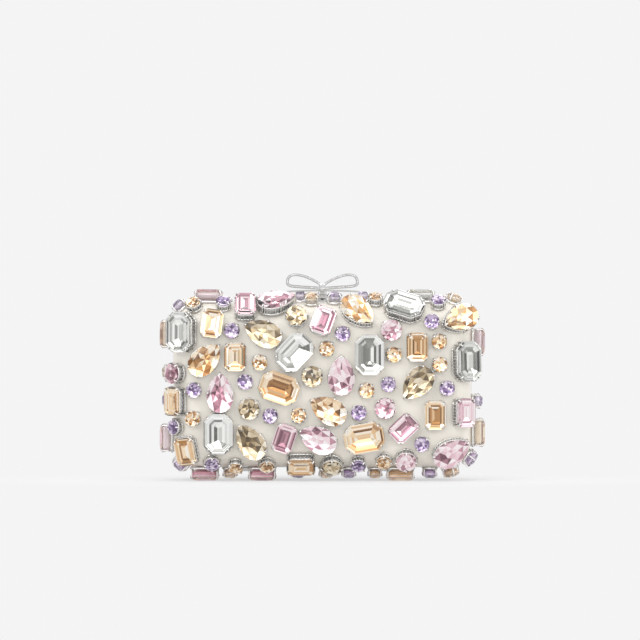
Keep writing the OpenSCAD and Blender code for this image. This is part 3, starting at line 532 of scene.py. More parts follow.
def brilliant(s, rng):
    """Crown of star, bezel and girdle facets, with rings of foil facets below it."""
    l, w, m = s["length"], s["width"], MAINS
    outline_at = OUTLINES[s["cut"]]

    def ring(share, off, n, z, uneven=0.0):
        spots = (outline_at(l, w, (i + off) * 2 * math.pi / n) for i in range(n))
        return [(share * x, share * y, z - rng.uniform(0, uneven)) for x, y in spots]

    outer_z, inner_z, point_z = (s["low"] - z for z in bowl(w / 2, FOIL_RINGS))
    verts = ring(TABLE_SHARE, 0, m, s["table"])
    verts += ring(STAR_SHARE, 0.5, m, s["top"] + STAR_RISE * (s["table"] - s["top"]))
    verts += ring(1, 0, 2 * m, s["top"])
    verts += ring(1, 0, 2 * m, s["low"])
    verts += ring(FOIL_RINGS[0][0], 0, m, outer_z, FOIL_UNEVEN * w)
    verts += ring(FOIL_RINGS[1][0], 0.5, m, inner_z, FOIL_UNEVEN * w)
    verts.append((0, 0, point_z))
    star, top, low, outer, inner, point = (k * m for k in (1, 2, 4, 6, 7, 8))

    def upper(i):
        return top + i % (2 * m)

    def lower(i):
        return low + i % (2 * m)

    crown_faces = [list(range(m))]
    back_faces = []
    for k in range(m):
        a = (k + 1) % m
        first, middle, last = 2 * k, 2 * k + 1, 2 * k + 2
        crown_faces += [[k, star + k, a],
                        [a, star + k, upper(last)], [a, upper(last), star + a],
                        [star + k, upper(first), upper(middle)], [star + k, upper(middle), upper(last)]]
        for i in (first, middle):
            crown_faces.append([upper(i), lower(i), lower(i + 1), upper(i + 1)])
        back_faces += [([outer + k, lower(middle), lower(first)], 0),
                       ([outer + a, lower(last), lower(middle)], 0),
                       ([outer + k, outer + a, lower(middle)], 0),
                       ([outer + k, inner + k, outer + a], 1), ([outer + a, inner + k, inner + a], 1),
                       ([inner + k, point, inner + a], 2)]
    body = sunk(verts[low:])
    start = len(body)
    for share, off, points, down in BACK_RINGS:
        body += ring(share, off, points * m, s["low"] - down * (s["low"] - s["tip"]))
    body.append((0, 0, s["tip"]))
    faces = [[i - low for i in face] for face, _ in back_faces]
    n = 2 * m
    faces += [[i, (i + 1) % n, start + (i + 1) % n, start + i] for i in range(n)]
    for k in range(m):
        a, b, c = (start + i % n for i in (2 * k, 2 * k + 1, 2 * k + 2))
        here, following = start + n + k, start + n + (k + 1) % m
        faces += [[a, b, here], [b, c, here], [here, c, following],
                  [here, following, len(body) - 1]]
    return (verts, crown_faces, back_faces), (body, faces)


# Step cut: the crown and the back lie in by shares of the width, the foil's steps by shares of half
# of it. The foil's steps have a slope in degrees, the back's a depth.
TABLE_IN = 0.19
STEP_IN = 0.085
STEP_RISE = 0.62
FOIL_STEPS = ((0.13, -8), (0.25, -2), (0.40, 8), (0.55, 4), (0.72, 11), (0.94, 7))
SLOPE_CHANGE = 2
BACK_STEPS = ((0.03, 0.3), (0.12, 0.65), (0.36, 1))


def step_cut(s, rng):
    """Stepped crown over stepped foil that ends in a hipped keel."""
    l, w, c = s["length"], s["width"], s["corner"]
    steps = [(1 - share, slope + rng.uniform(-SLOPE_CHANGE, SLOPE_CHANGE))
             for share, slope in FOIL_STEPS]

    def ring(inset, z):
        return [(x, y, z) for x, y in octagon_in(l, w, c, inset)]

    rings = [ring(TABLE_IN * w, s["table"]),
             ring(STEP_IN * w, s["top"] + STEP_RISE * (s["table"] - s["top"])),
             ring(0, s["top"]), ring(0, s["low"])]
    rings += [ring((1 - share) * w / 2, s["low"] - z)
              for (share, _), z in zip(steps, bowl(w / 2, steps))]
    verts = [v for r in rings for v in r]
    low = 3 * 8
    faces = ring_faces(len(rings), 8, closed=False)
    crown_faces = [list(range(8))] + faces[:low]
    back_faces = [(face, min(2, i // 16)) for i, face in enumerate(faces[low:])]
    back_faces.append(([len(verts) - 1 - i for i in range(8)], 2))
    body = sunk(verts[low:])
    for inset, down in BACK_STEPS:
        body += ring(inset * w, s["low"] - down * (s["low"] - s["tip"]))
    end = len(body) - 8
    faces = [[i - low for i in face] for face, _ in back_faces] + [[end + 7 - i for i in range(8)]]
    for above, below in ((0, end - 16), (end - 16, end - 8), (end - 8, end)):
        for i in range(8):
            j = (i + 1) % 8
            faces.append([above + i, below + i, below + j, above + j])
    return (verts, crown_faces, back_faces), (body, faces)


# Share of foil facets painted dark as shade, the rest pale as reflections, by ring from the girdle in,
# for stones that look even, deep or open, and how often each of the three comes up in a colour
SHADE_MOODS = ((0.25, 0.37, 0.33), (0.21, 0.53, 0.83), (0.29, 0.25, 0.03))
WEIGHTS = {"lavender": (3, 7, 1), "peach": (4, 3, 4), "rose": (4, 4, 4), "khaki": (3, 7, 2),
           "crystal": (4, 4, 4)}
# Values for a facet painted as shade, and for one painted as a reflection
DARK_TO = 0.25
PALE_FROM = 0.4


def painted_tone(rng, dark_share):
    return rng.uniform(0, DARK_TO) if rng.random() < dark_share else rng.uniform(PALE_FROM, 1)


# A leaning stone is let in by this share of its length and lean, so that its edge rises little
SINK_SHARE = 0.35


def seat(s):
    """Where a stone and its cup stand."""
    m = Matrix((s["x"], s["y"], s["n"])).transposed().to_4x4()
    x, y = (math.radians(v) for v in s["lean"])
    sink = Matrix.Translation((0, 0, -SINK_SHARE * s["length"] * max(abs(x), abs(y))))
    lean = Matrix.Rotation(x, 4, "X") @ Matrix.Rotation(y, 4, "Y")
    return Matrix.Translation(s["base"]) @ m @ sink @ lean


# Stones under the case show the richer back, painted in for the coloured light that real glass lets
# through
CROWN_LOOK, FOIL_LOOK, BACK_LOOK, LIT_THROUGH_LOOK = range(4)
UNDERSIDE = -0.5
rng = random.Random(7)
for name in sorted({s["node"] for s in stones}):
    pile = Pile()
    for s in stones:
        if s["node"] != name:
            continue
        cut = step_cut if s["cut"] == "octagon" else brilliant
        (verts, crown_faces, back_faces), (body, body_faces) = cut(s, rng)
        shade_mood = rng.choices(SHADE_MOODS, WEIGHTS[s["colour"]])[0]
        # The crown keeps a middle value; each foil facet gets painted shade or a painted reflection, by
        # ring
        shade = [0.5] * len(crown_faces) + [painted_tone(rng, shade_mood[ring]) for _, ring in back_faces]
        matrix = seat(s)
        pile.add(verts, crown_faces + [face for face, _ in back_faces], matrix,
                 [CROWN_LOOK] * len(crown_faces) + [FOIL_LOOK] * len(back_faces), shade)
        # The back's facets get painted light at random, from painted shade to painted reflection
        pile.add(body, body_faces, matrix, LIT_THROUGH_LOOK if s["n"][2] < UNDERSIDE else BACK_LOOK,
                 [rng.uniform(0, 1) for _ in body_faces])
    half, colour, kind = name.split("_")
    o = make_object("%s_%s_gems%s" % (half, colour, "_base" if kind == "feet" else ""),
                    pile.verts, pile.faces, gem_materials[colour], pile.index, pile.facet)
    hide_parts(name)
    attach(o, half + "_half")


# Cups: two rings joined by the ribs of the gallery, and claws bent over the crown. Stones that face
# up, down or sideways sit in open settings, which show their coloured backs.
OPEN_BELOW = 0.35
RIM_DROP = 0.45 * MM
OUTLINE_STEP = 1.2 * MM
# Sections in millimetres: out from the girdle, and up from the cup's foot or its rim
FOOT_RING = ((-0.7, 0), (0.02, 0), (0.14, 0.25), (0.1, 0.6), (-0.02, 1), (-0.6, 1))
RIM_RING = ((-0.6, -0.85), (-0.04, -0.85), (0.05, -0.5), (0.07, -0.12), (-0.05, 0.05),
            (-0.45, -0.05))
RIM_WIRE = ((-0.45, -0.45), (-0.2, -0.5), (-0.05, -0.3), (-0.25, -0.15))
# The inner skin: a sheet of painted shade behind the gallery
SHADE_SKIN_FOOT = ((-0.62, 0.3), (-0.5, 0.3))
SHADE_SKIN_RIM = ((-0.5, -0.3), (-0.62, -0.3))
# Ribs of the gallery, thicker at both ends: radius, and height over the foot or the rim
RIB_FOOT = ((0.45, 0.8), (0.33, 1.3))
RIB_HEAD = ((0.33, -1.1), (0.45, -0.6))
RIB_PITCH = 1.55 * MM
RIB_IN = 0.28 * MM
# Claws: radii along the bar, and the finger's points, in over the stone and up, in millimetres
KNEE_OUT = 0.46 * MM
CLAW_FOOT = 0.5 * MM
CLAW_MIDDLE = 0.6
BELOW_GIRDLE = 0.1 * MM
BELOW_TOP = 0.05 * MM
CLAW_RADII = (0.42, 0.42, 0.4, 0.4, 0.42, 0.4, 0.2)
FINGER = ((0.15, 0.34), (0.55, 0.40), (0.95, 0.36))
FINGER_SLOPE = 0.9
CROWN_RUN = {"round": 0.45, "octagon": 0.38, "pear": 0.44}
ROUND_CLAWS = (45, 135, 225, 315)
PEAR_CLAWS = (0, 90, 150, 210, 270)
PEAR_STEP = math.radians(4)


def cup_outline(s):
    l, w = s["length"], s["width"]
    if s["cut"] == "octagon":
        pts = octagon_outline(l, w, s["corner"])
        out = []
        for i in range(8):
            a, b = Vector(pts[i]), Vector(pts[(i + 1) % 8])
            k = max(1, round((b - a).length / OUTLINE_STEP))
            out += [a.lerp(b, j / k) for j in range(k)]
        return out
    n = 32 if s["cut"] == "round" else 40
    return [Vector(OUTLINES[s["cut"]](l, w, 2 * math.pi * i / n)) for i in range(n)]


def outward(pts):
    n = len(pts)
    out = []
    for i in range(n):
        d = pts[(i + 1) % n] - pts[i - 1]
        v = Vector((d.y, -d.x))
        out.append(v.normalized() if v.length > 1e-9 else pts[i].normalized())
    return out


def section(shape, z=0.0):
    """A table in millimetres as points in metres, raised by z."""
    return [(across * MM, z + up * MM) for across, up in shape]


def swept_ring(pts, normals, profile):
    """Profile of (outward, z) corners, swept round the outline."""
    verts = [(p.x + q.x * o, p.y + q.y * o, z) for p, q in zip(pts, normals) for o, z in profile]
    return verts, ring_faces(len(pts), len(profile))


def tube(path, radii, sides, squash=1.0):
    """Closed round bar along a path of (position, side vector) pairs."""
    verts = []
    n = len(path)
    for k, (p, side) in enumerate(path):
        ahead = (path[min(k + 1, n - 1)][0] - path[max(k - 1, 0)][0]).normalized()
        up = ahead.cross(side).normalized()
        for i in range(sides):
            a = 2 * math.pi * (i + 0.5) / sides
            verts.append(p + (side * math.cos(a) + up * math.sin(a) * squash) * radii[k])
    return verts, bar_faces(n, sides)


def claw_places(s):
    """Where the claws stand on the girdle, and which way is out there."""
    l, w, c = s["length"], s["width"], s["corner"]
    if s["cut"] == "octagon":
        return [(Vector((sx * (l - c) / 2, sy * (w - c) / 2)), Vector((sx, sy)).normalized())
                for sx in (1, -1) for sy in (1, -1)]
    if s["cut"] == "round":
        return [(Vector(round_at(l, w, a)), Vector((math.cos(a), math.sin(a))))
                for a in map(math.radians, ROUND_CLAWS)]
    out = []
    for t in map(math.radians, PEAR_CLAWS):
        along = Vector(pear_at(l, w, t + PEAR_STEP)) - Vector(pear_at(l, w, t - PEAR_STEP))
        normal = Vector((along.y, -along.x)).normalized() if t else Vector((1, 0))
        out.append((Vector(pear_at(l, w, t)), normal))
    return out


def gallery(pile, pts, normals, rim, matrix):
    """Upright ribs at an even pitch round the outline."""
    total = [0.0]
    n = len(pts)
    for i in range(n):
        total.append(total[-1] + (pts[(i + 1) % n] - pts[i]).length)
    count = max(8, int(total[-1] / RIB_PITCH) // 4 * 4)
    radii, heights = zip(*section(RIB_FOOT), *section(RIB_HEAD, rim))
    i = 0
    for k in range(count):
        d = (k + 0.5) * total[-1] / count
        while total[i + 1] < d:
            i += 1
        f = (d - total[i]) / (total[i + 1] - total[i])
        q = normals[i].lerp(normals[(i + 1) % n], f).normalized()
        c = pts[i].lerp(pts[(i + 1) % n], f) - q * RIB_IN
        side = Vector((-q.y, q.x, 0))
        path = [(Vector((c.x, c.y, z)), side) for z in heights]
        pile.add(*tube(path, radii, 6), matrix)


def claw_bars(pile, s, rim, matrix):
    slope = (s["table"] - s["top"]) / (CROWN_RUN[s["cut"]] * s["width"] / 2)
    heights = (CLAW_FOOT, rim * CLAW_MIDDLE, s["low"] - BELOW_GIRDLE, s["top"] - BELOW_TOP)
    radii = [r * MM for r in CLAW_RADII]
    for p, q in claw_places(s):
        side = Vector((-q.y, q.x, 0))
        foot, away = p.to_3d(), q.to_3d()
        knee = foot + away * KNEE_OUT
        path = [(knee + Vector((0, 0, z)), side) for z in heights]
        for reach, lift in FINGER:
            z = s["top"] + lift * MM + reach * MM * slope * FINGER_SLOPE
            path.append((foot - away * reach * MM + Vector((0, 0, z)), side))
        pile.add(*tube(path, radii, 8, 0.8), matrix)


def cup(pile, s, matrix):
    pts = cup_outline(s)
    normals = outward(pts)
    rim = s["low"] - RIM_DROP
    open_sided = abs(s["n"][1]) < OPEN_BELOW
    for profile in (section(FOOT_RING), section(RIM_WIRE if open_sided else RIM_RING, rim)):
        pile.add(*swept_ring(pts, normals, profile), matrix)
    if not open_sided:
        # inner skin of painted shade, dark behind the gallery
        shade_skin = section(SHADE_SKIN_FOOT) + section(SHADE_SKIN_RIM, rim)
        pile.add(*swept_ring(pts, normals, shade_skin), matrix, 1)
        gallery(pile, pts, normals, rim, matrix)
    claw_bars(pile, s, rim, matrix)


for name in sorted({s["cup_node"] for s in stones}):
    pile = Pile()
    for s in stones:
        if s["cup_node"] == name:
            cup(pile, s, seat(s))
    half, side, _ = name.split("_")
    o = make_object("%s_%s_cups" % (half, side), pile.verts, pile.faces,
                    [cup_silver, painted_shade_silver], pile.index, smooth=True)
    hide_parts(name)
    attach(o, half + "_half")

# Bow: grooved ribbon with rounded edges and a row of small stones in the groove, front and back.
# The curves are in shares of its half width and its rise.
BOW_HALF = 19.6 * MM
BOW_RISE = 7.4 * MM
LOOP_CURVES = (((0, 0.1), (0.32, 0.75), (0.9, 1.34), (0.98, 0.55)),
               ((0.98, 0.55), (1.02, -0.05), (0.95, 0.1), (0, -0.1)))
TAIL_CURVES = (((0, -0.255), (0.35, -0.26), (0.75, -0.29), (1.1, -0.36)),)
LOOP_STEPS = 28
TAIL_STEPS = 16
LOOP_T = 1.5 * MM
TAIL_T = 0.8 * MM
BEVEL = 0.28 * MM
GROOVE = 0.16 * MM
TAIL_BEVEL = 0.7 * BEVEL
TAIL_GROOVE = 0.5 * GROOVE
# Shares of the knot's width at which the bands and their rows of stones begin
BAND_FROM = 0.3
ROW_FROM = 0.6
ROW_PITCH = 0.92 * MM
ROW_R = 0.34 * MM
# Small stones: rings as shares of radius and height with their turn, and how loosely they are set
PAVE_RINGS = ((0.55, 1, 0.5), (1, 0.35, 0), (0.9, 0, 0))
PAVE_H = 0.2 * MM
PAVE_SINK = 0.02 * MM
PAVE_LEAN = 9
BRIGHT, PAVE, EDGE, SIDE = range(4)
# The bevels carry the darker silver of painted shade
BAND_LOOKS = (EDGE, EDGE, BRIGHT, EDGE, BRIGHT, EDGE, BRIGHT, EDGE, EDGE, SIDE)
knot_low, knot_high = (Vector(v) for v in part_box("bow_knot"))
knot_mid = (knot_low + knot_high) / 2
knot_w, knot_d, knot_h = knot_high - knot_low
loop_low, loop_high = (Vector(v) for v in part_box("bow_loop_right"))
ribbon_w = loop_high.y - loop_low.y


def bezier(p, t):
    a, b, c, d = (Vector(v) for v in p)
    return (1 - t) ** 3 * a + 3 * t * (1 - t) ** 2 * b + 3 * t * t * (1 - t) * c + t ** 3 * d


def bow_line(curves, steps, start):
    """Points of joined curves in the plane of the bow, from the knot's flank outwards."""
    pts = []
    for k, curve in enumerate(curves):
        pts += [bezier(curve, i / steps) for i in range(1 if k else 0, steps + 1)]
    pts = [Vector((p.x * BOW_HALF, p.y * BOW_RISE)) for p in pts]
    return [p for p in pts if p.x >= start]


def sides_of(line):
    out = []
    for i in range(len(line)):
        d = line[min(i + 1, len(line) - 1)] - line[max(i - 1, 0)]
        out.append(Vector((-d.y, d.x)).normalized())
    return out


def band_profile(t, w, bevel, groove):
    """Closed section of a band: (across, depth), with bevelled edges and a groove between them."""
    half = [(-0.5 * t, bevel), (-0.5 * t + 0.8 * bevel, 0.12 * bevel), (-0.5 * t + bevel, 0),
            (-0.5 * t + 1.2 * bevel, 0), (-0.5 * t + 1.4 * bevel, groove)]
    front = half + [(-x, y) for x, y in reversed(half)]
    return [(x, y - w / 2) for x, y in front] + [(-x, w / 2 - y) for x, y in front]


def band(line, profile, mirror):
    """Sweeps a band's section along a line; bevels, painted darker as shade, and broad sides have
    materials of their own.
    """
    verts = []
    n, m = len(line), len(profile)
    for p, side in zip(line, sides_of(line)):
        for across, depth in profile:
            q = p + side * across
            verts.append((mirror * q.x, depth, q.y))
    looks = [BAND_LOOKS[j % 10] for j in range(m)] * (n - 1) + [BRIGHT, BRIGHT]
    return verts, bar_faces(n, m), looks


def small_stone(r):
    """Little eight-sided stone, its table along +Z."""
    verts = []
    for share, rise, off in PAVE_RINGS:
        for a in ((i + off) * math.pi / 4 for i in range(8)):
            verts.append((share * r * math.cos(a), share * r * math.sin(a), rise * PAVE_H))
    faces = [list(range(8))]
    for i in range(8):
        j = (i + 1) % 8
        faces += [[i, 8 + i, 8 + j], [i, 8 + j, j], [8 + i, 16 + i, 16 + j, 8 + j]]
    faces.append([16 + i for i in reversed(range(8))])
    return verts, faces


def spaced(line, pitch):
    """Points at an even pitch along a line, clear of its ends."""
    left = pitch
    for a, b in zip(line, line[1:]):
        run = (b - a).length
        at = 0.0
        while run - at > left:
            at += left
            yield a.lerp(b, at / run)
            left = pitch
        left -= run - at


def set_row(pile, places, r, depth, rng):
    """Sets small stones at the places on the front and the back of a band."""
    for p in places:
        for face in (-1, 1):
            verts, faces = small_stone(r)
            upright = Matrix.Rotation(math.radians(-90 * face), 4, "X")
            wobble = (Matrix.Rotation(math.radians(rng.uniform(-PAVE_LEAN, PAVE_LEAN)), 4, "X")
                      @ Matrix.Rotation(math.radians(rng.uniform(-PAVE_LEAN, PAVE_LEAN)), 4, "Y")
                      @ Matrix.Rotation(rng.uniform(0, math.pi / 4), 4, "Z"))
            m = Matrix.Translation((p.x, face * depth, p.y)) @ upright @ wobble
            # each facet of a small stone gets its own painted light, from shade to glint
            pile.add(verts, faces, m, PAVE, [rng.uniform(0.35, 1) for _ in faces])


def bow_piece(pile, name, node):
    o = make_object(name, pile.verts, pile.faces, bow_looks, pile.index, pile.facet)
    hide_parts(node)
    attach(o, "bow_clasp")


at_knot = Matrix.Translation(knot_mid)
loop_profile = band_profile(LOOP_T, ribbon_w, BEVEL, GROOVE)
tail_profile = band_profile(TAIL_T, ribbon_w, TAIL_BEVEL, TAIL_GROOVE)
for name, mirror in (("bow_loop_right", 1), ("bow_loop_left", -1)):
    line = bow_line(LOOP_CURVES, LOOP_STEPS, knot_w * BAND_FROM)
    pile = Pile()
    verts, faces, looks = band(line, loop_profile, mirror)
    pile.add(verts, faces, at_knot, looks)
    places = [Vector((mirror * p.x + knot_mid.x, p.y + knot_mid.z))
              for p in spaced(line, ROW_PITCH) if p.x > ROW_FROM * knot_w]
    set_row(pile, places, ROW_R, ribbon_w / 2 - GROOVE - PAVE_SINK, rng)
    bow_piece(pile, name + "_band", name)

pile = Pile()
for mirror in (1, -1):
    line = bow_line(TAIL_CURVES, TAIL_STEPS, knot_w * BAND_FROM)
    verts, faces, looks = band(line, tail_profile, mirror)
    pile.add(verts, faces, at_knot, looks)
bow_piece(pile, "bow_tail_bands", "bow_tails")

# Knot: the same band wound once round the middle, with three rows of small stones front and back.
# Its section is in shares of the knot's width and, inwards, of the band's thickness.
KNOT_CORNER = 0.9 * MM
KNOT_T = 0.75 * MM
KNOT_ARC = 6
KNOT_SECTION = ((-0.5, 0.3), (-0.46, 0.1), (-0.4, 0), (-0.34, 0.08), (-0.3, 0.3), (-0.1, 0.22),
                (0.1, 0.22), (0.3, 0.3), (0.34, 0.08), (0.4, 0), (0.46, 0.1), (0.5, 0.3),
                (0.44, 1), (-0.44, 1))
KNOT_PITCH = 0.82 * MM
KNOT_STONE_R = 0.36 * MM
KNOT_STONE_IN = 0.26
# Corners of a rectangle, each with the angle at which its arc starts
CORNERS = ((1, 1, 0), (-1, 1, 90), (-1, -1, 180), (1, -1, 270))
pile = Pile()
verts = []
for cy, cz, start in CORNERS:
    centre = Vector((cy * (knot_d / 2 - KNOT_CORNER), cz * (knot_h / 2 - KNOT_CORNER)))
    for i in range(KNOT_ARC + 1):
        a = math.radians(start + 90 * i / KNOT_ARC)
        for share, inward in KNOT_SECTION:
            q = centre + Vector((math.cos(a), math.sin(a))) * (KNOT_CORNER - inward * KNOT_T)
            verts.append((share * knot_w, q.x, q.y))
pile.add(verts, ring_faces(len(CORNERS) * (KNOT_ARC + 1), len(KNOT_SECTION)), at_knot)
places = [Vector((knot_mid.x + i * KNOT_PITCH, knot_mid.z + k * KNOT_PITCH))
          for i in (-1, 0, 1) for k in (-2, -1, 0, 1, 2) if abs(i) + abs(k) < 3]
set_row(pile, places, KNOT_STONE_R, knot_d / 2 - KNOT_STONE_IN * KNOT_T, rng)
bow_piece(pile, "bow_knot_band", "bow_knot")

# Linings: thin padded satin in each tray, a little puffed between its edges
LINING_IN = 0.4 * MM
LINING_CORNER = 13 * MM
LINING_BEND = 9 * MM
LINING_T = 0.5 * MM
LIP_IN = 0.1 * MM
LIP_H = 0.7 * MM
WALL_PUFF = 0.2 * MM
BEND_STEPS = 7
BEND_STEP = 12
FLOOR_PUFF = 0.5 * MM
MIDDLE_PUFF = 0.3 * MM
FLOOR_RINGS = (0.94, 0.86, 0.74, 0.6, 0.44, 0.28, 0.12)
CORNER_STEPS = 8
LONG_STEPS, SHORT_STEPS = 40, 16


def rounded_outline(half_x, half_z, r):
    """Points round a rounded rectangle; as many on each side whatever the corner's radius."""
    arcs = []
    for cx, cz, start in CORNERS:
        x, z = cx * (half_x - r), cz * (half_z - r)
        angles = (math.radians(start + 90 * i / CORNER_STEPS) for i in range(CORNER_STEPS + 1))
        arcs.append([Vector((x + r * math.cos(a), z + r * math.sin(a))) for a in angles])
    out = []
    for i, arc in enumerate(arcs):
        steps = SHORT_STEPS if i % 2 else LONG_STEPS
        out += arc + [arc[-1].lerp(arcs[(i + 1) % 4][0], j / steps) for j in range(1, steps)]
    return out


def puffed(x, z):
    """Uneven fullness of the satin over the tray's floor."""
    puff = 0.5 + 0.35 * math.sin(x * 95 + 1.3) * math.sin(z * 120 + 0.4)
    return puff + 0.15 * math.sin(x * 310 + 40 * z)


def lining(node, half, into):
    low, high = (Vector(v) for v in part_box(node))
    centre = (low + high) / 2
    half_x = (high.x - low.x) / 2 - LINING_IN
    half_z = (high.z - low.z) / 2 - LINING_IN
    mouth = low.y if into > 0 else high.y
    depth = high.y - low.y - LINING_IN
    wall = depth - LINING_BEND
    rings = [(LIP_IN, 0), (0, LIP_H), (WALL_PUFF, 0.35 * wall), (WALL_PUFF, 0.7 * wall), (0, wall)]
    rings += [(LINING_BEND * (1 - math.cos(a)), wall + LINING_BEND * math.sin(a))
              for a in (math.radians(BEND_STEP * k) for k in range(1, BEND_STEPS + 1))]
    verts = []
    for inset, y in rings:
        outline = rounded_outline(half_x - inset, half_z - inset, LINING_CORNER - inset)
        verts += [(p.x, mouth + into * y, p.y) for p in outline]
    for k in FLOOR_RINGS:
        for x, z in ((p.x * k, p.y * k) for p in outline):
            verts.append((x, mouth + into * (depth - FLOOR_PUFF * puffed(x, z)), z))
    verts.append((0, mouth + into * (depth - MIDDLE_PUFF), 0))
    n = len(outline)
    total = len(rings) + len(FLOOR_RINGS)
    faces = ring_faces(total, n, closed=False)
    faces += [[(total - 1) * n + i, total * n, (total - 1) * n + (i + 1) % n] for i in range(n)]
    verts = [(x + centre.x, y, z + centre.z) for x, y, z in verts]
    o = make_object(node + "_satin", verts, faces, [satin], smooth=True)
    thicken(o, LINING_T)
    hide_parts(node)
    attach(o, half + "_half")
    return o


lining("front_lining", "front", -1)
back_satin = lining("back_lining", "back", 1)

# Slip pocket: one piece of satin sewn down on three sides, its top gathered under a wide hem
POCKET_BACK = 0.6 * MM
POCKET_SEAM = 0.2 * MM
POCKET_BELLY = 0.65 * MM
POCKET_FOLD = 0.85 * MM
POCKET_T = 0.35 * MM
FOLDS = 21
HEM_R = 0.42 * MM
HEM_DROP = 0.9 * MM
HEM_FLAT = 3.2
NX, NZ = 240, 30
low, high = (Vector(v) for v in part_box("slip_pocket"))
wide, _, tall = high - low
verts = []
for k in range(NZ + 1):
    v = k / NZ
    for i in range(NX + 1):
        u = i / NX
        edge = min(1, 14 * min(u, 1 - u)) * min(1, 5 * v)
        belly = math.sin(math.pi * u) ** 0.5 * math.sin(math.pi * (0.12 + 0.6 * v))
        sway = 0.9 * math.sin(8 * u) + 0.5 * math.sin(5 * v + 9 * u)
        fold = abs(math.sin(math.pi * u * FOLDS + sway))
        fold = fold ** 0.75 * v ** (1.1 + 0.5 * math.sin(23 * u))
        y = high.y - POCKET_BACK - edge * (POCKET_BELLY * belly + POCKET_SEAM + POCKET_FOLD * fold)
        verts.append((low.x + wide * (0.01 + 0.98 * u), y, low.z + tall * (0.01 + 0.95 * v)))
row = NX + 1
faces = [[k * row + i, k * row + i + 1, (k + 1) * row + i + 1, (k + 1) * row + i]
         for k in range(NZ) for i in range(NX)]
pocket = make_object("slip_pocket_satin", verts, faces, [satin], smooth=True, solid=False)
thicken(pocket, POCKET_T)
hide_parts("slip_pocket")
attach(pocket, "back_half")
hem_path = [(Vector(p) - Vector((0, 0, HEM_DROP)), Vector((0, 1, 0))) for p in verts[NZ * row::2]]
hem_verts, hem_faces = tube(hem_path, [HEM_R] * len(hem_path), 10, HEM_FLAT)
hem = make_object("slip_pocket_hem", hem_verts, hem_faces, [satin], smooth=True)
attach(hem, "back_half")

# Return spring: a bent steel blade under the rocker's heel, which presses it down at the limit.
# The points of its bend are in millimetres from the end under the heel.
BLADE_T = 0.2 * MM
BLADE_CLEAR = 0.6 * BLADE_T
BEND_LOW = (2.1, 1.3)
BEND_HIGH = (1.0, 0.35)
BLADE_STEPS = 14
FOOT_IN = 0.1 * MM
TIP_IN = 0.12 * MM
TIP_DROP = 0.25 * MM


def blade(line, half_w, thick):
    """Flat strip with rounded edges along a line of (y, z) points, from side to side in x."""
    flat_w = half_w - 0.4 * thick
    profile = [(-half_w, 0), (-flat_w, -0.5 * thick), (flat_w, -0.5 * thick), (half_w, 0),
               (flat_w, 0.5 * thick), (-flat_w, 0.5 * thick)]
    verts = []
    for p, side in zip(line, sides_of(line)):
        verts += [(x, p.x + side.x * d, p.y + side.y * d) for x, d in profile]
    return verts, bar_faces(len(line), len(profile))


low, high = (Vector(v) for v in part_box("return_spring"))
inner_low, inner_high = low.z + BLADE_CLEAR, high.z - BLADE_CLEAR
heel = [(high.y - k * MM, inner_low) for k in BEND_LOW]
heel += [(high.y - k * MM, inner_high) for k in BEND_HIGH]
line = [Vector((low.y + FOOT_IN, inner_low))]
line += [bezier(heel, i / BLADE_STEPS) for i in range(BLADE_STEPS + 1)]
line.append(Vector((high.y - TIP_IN, inner_high - TIP_DROP)))
verts, faces = blade(line, (high.x - low.x) / 2, BLADE_T)
spring = make_object("return_spring_blade", verts, faces, [steel], smooth=True)
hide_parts("return_spring")
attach(spring, "back_half")
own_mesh(spring)

# Materials of the frame's own pieces
LOOKS = {
    "ivory_lacquer": lacquer, "polished_silver": silver, "silver_settings": cup_silver,
    "fastener_steel": steel, "lining_satin": satin,
}
slots = {p["node"]: p["material_slot"] for p in frame["record"]["subparts"]}
for name, o in nodes.items():
    look = LOOKS.get(slots.get(name))
    if name in ("keeper", "clasp_base", "clasp_rocker"):
        look = clasp_silver
    if look:
        o.data.materials.clear()
        o.data.materials.append(look)

# Smooth shading of the frame's curved pieces, with edges of more than 30 degrees kept sharp
SHARP_FROM = 30
WELD = 0.002 * MM
CURVED = ("front_shell", "back_shell", "front_frame", "back_frame", "clasp_base", "clasp_rocker",
          "front_hinge_leaves", "back_hinge_leaves", "hinge_pins", "clasp_pin")


def smoothing():
    group = bpy.data.node_groups.new("smooth_by_angle", "GeometryNodeTree")
    for way in ("INPUT", "OUTPUT"):
        group.interface.new_socket("Geometry", in_out=way, socket_type="NodeSocketGeometry")
    first = add(group, "NodeGroupInput")
    weld = add(group, "GeometryNodeMergeByDistance", {"Geometry": first.outputs[0], "Distance": WELD})
    angle = add(group, "GeometryNodeInputMeshEdgeAngle").outputs["Unsigned Angle"]
    steep = add(group, "FunctionNodeCompare", {0: angle, 1: math.radians(SHARP_FROM)},
                data_type="FLOAT", operation="GREATER_THAN")
    sharp = add(group, "GeometryNodeSetShadeSmooth",
                {"Geometry": weld.outputs["Geometry"], "Selection": steep.outputs["Result"],
                 "Shade Smooth": False}, domain="EDGE")
    soft = add(group, "GeometryNodeSetShadeSmooth", {"Geometry": sharp.outputs["Geometry"]},
               domain="FACE")
    add(group, "NodeGroupOutput", {0: soft.outputs["Geometry"]})
    return group


smooth_group = smoothing()
for name in CURVED:
    modifier = nodes[name].modifiers.new("smooth", "NODES")
    modifier.node_group = smooth_group

# Floor: plain and pale, and further off it takes on the background's own brightness
BACK = 0.905
BACKGROUND = (BACK, BACK, BACK + 0.003, 1)
FLOOR_HALF = 6
FLOOR_OVAL = (0.75, 1.4, 1)
FLOOR_FADE = (0.05, 0.17)
FLOOR_SHARE = 0.6


def pale_rays(tree):
    """Whether a ray is the camera's own, and whether it is that or one of gloss or through glass."""
    path = add(tree, "ShaderNodeLightPath")
    own, gloss, through = (path.outputs["Is %s Ray" % k] for k in ("Camera", "Glossy", "Transmission"))
    return own, maths(tree, "MAXIMUM", own, maths(tree, "MAXIMUM", gloss, through))


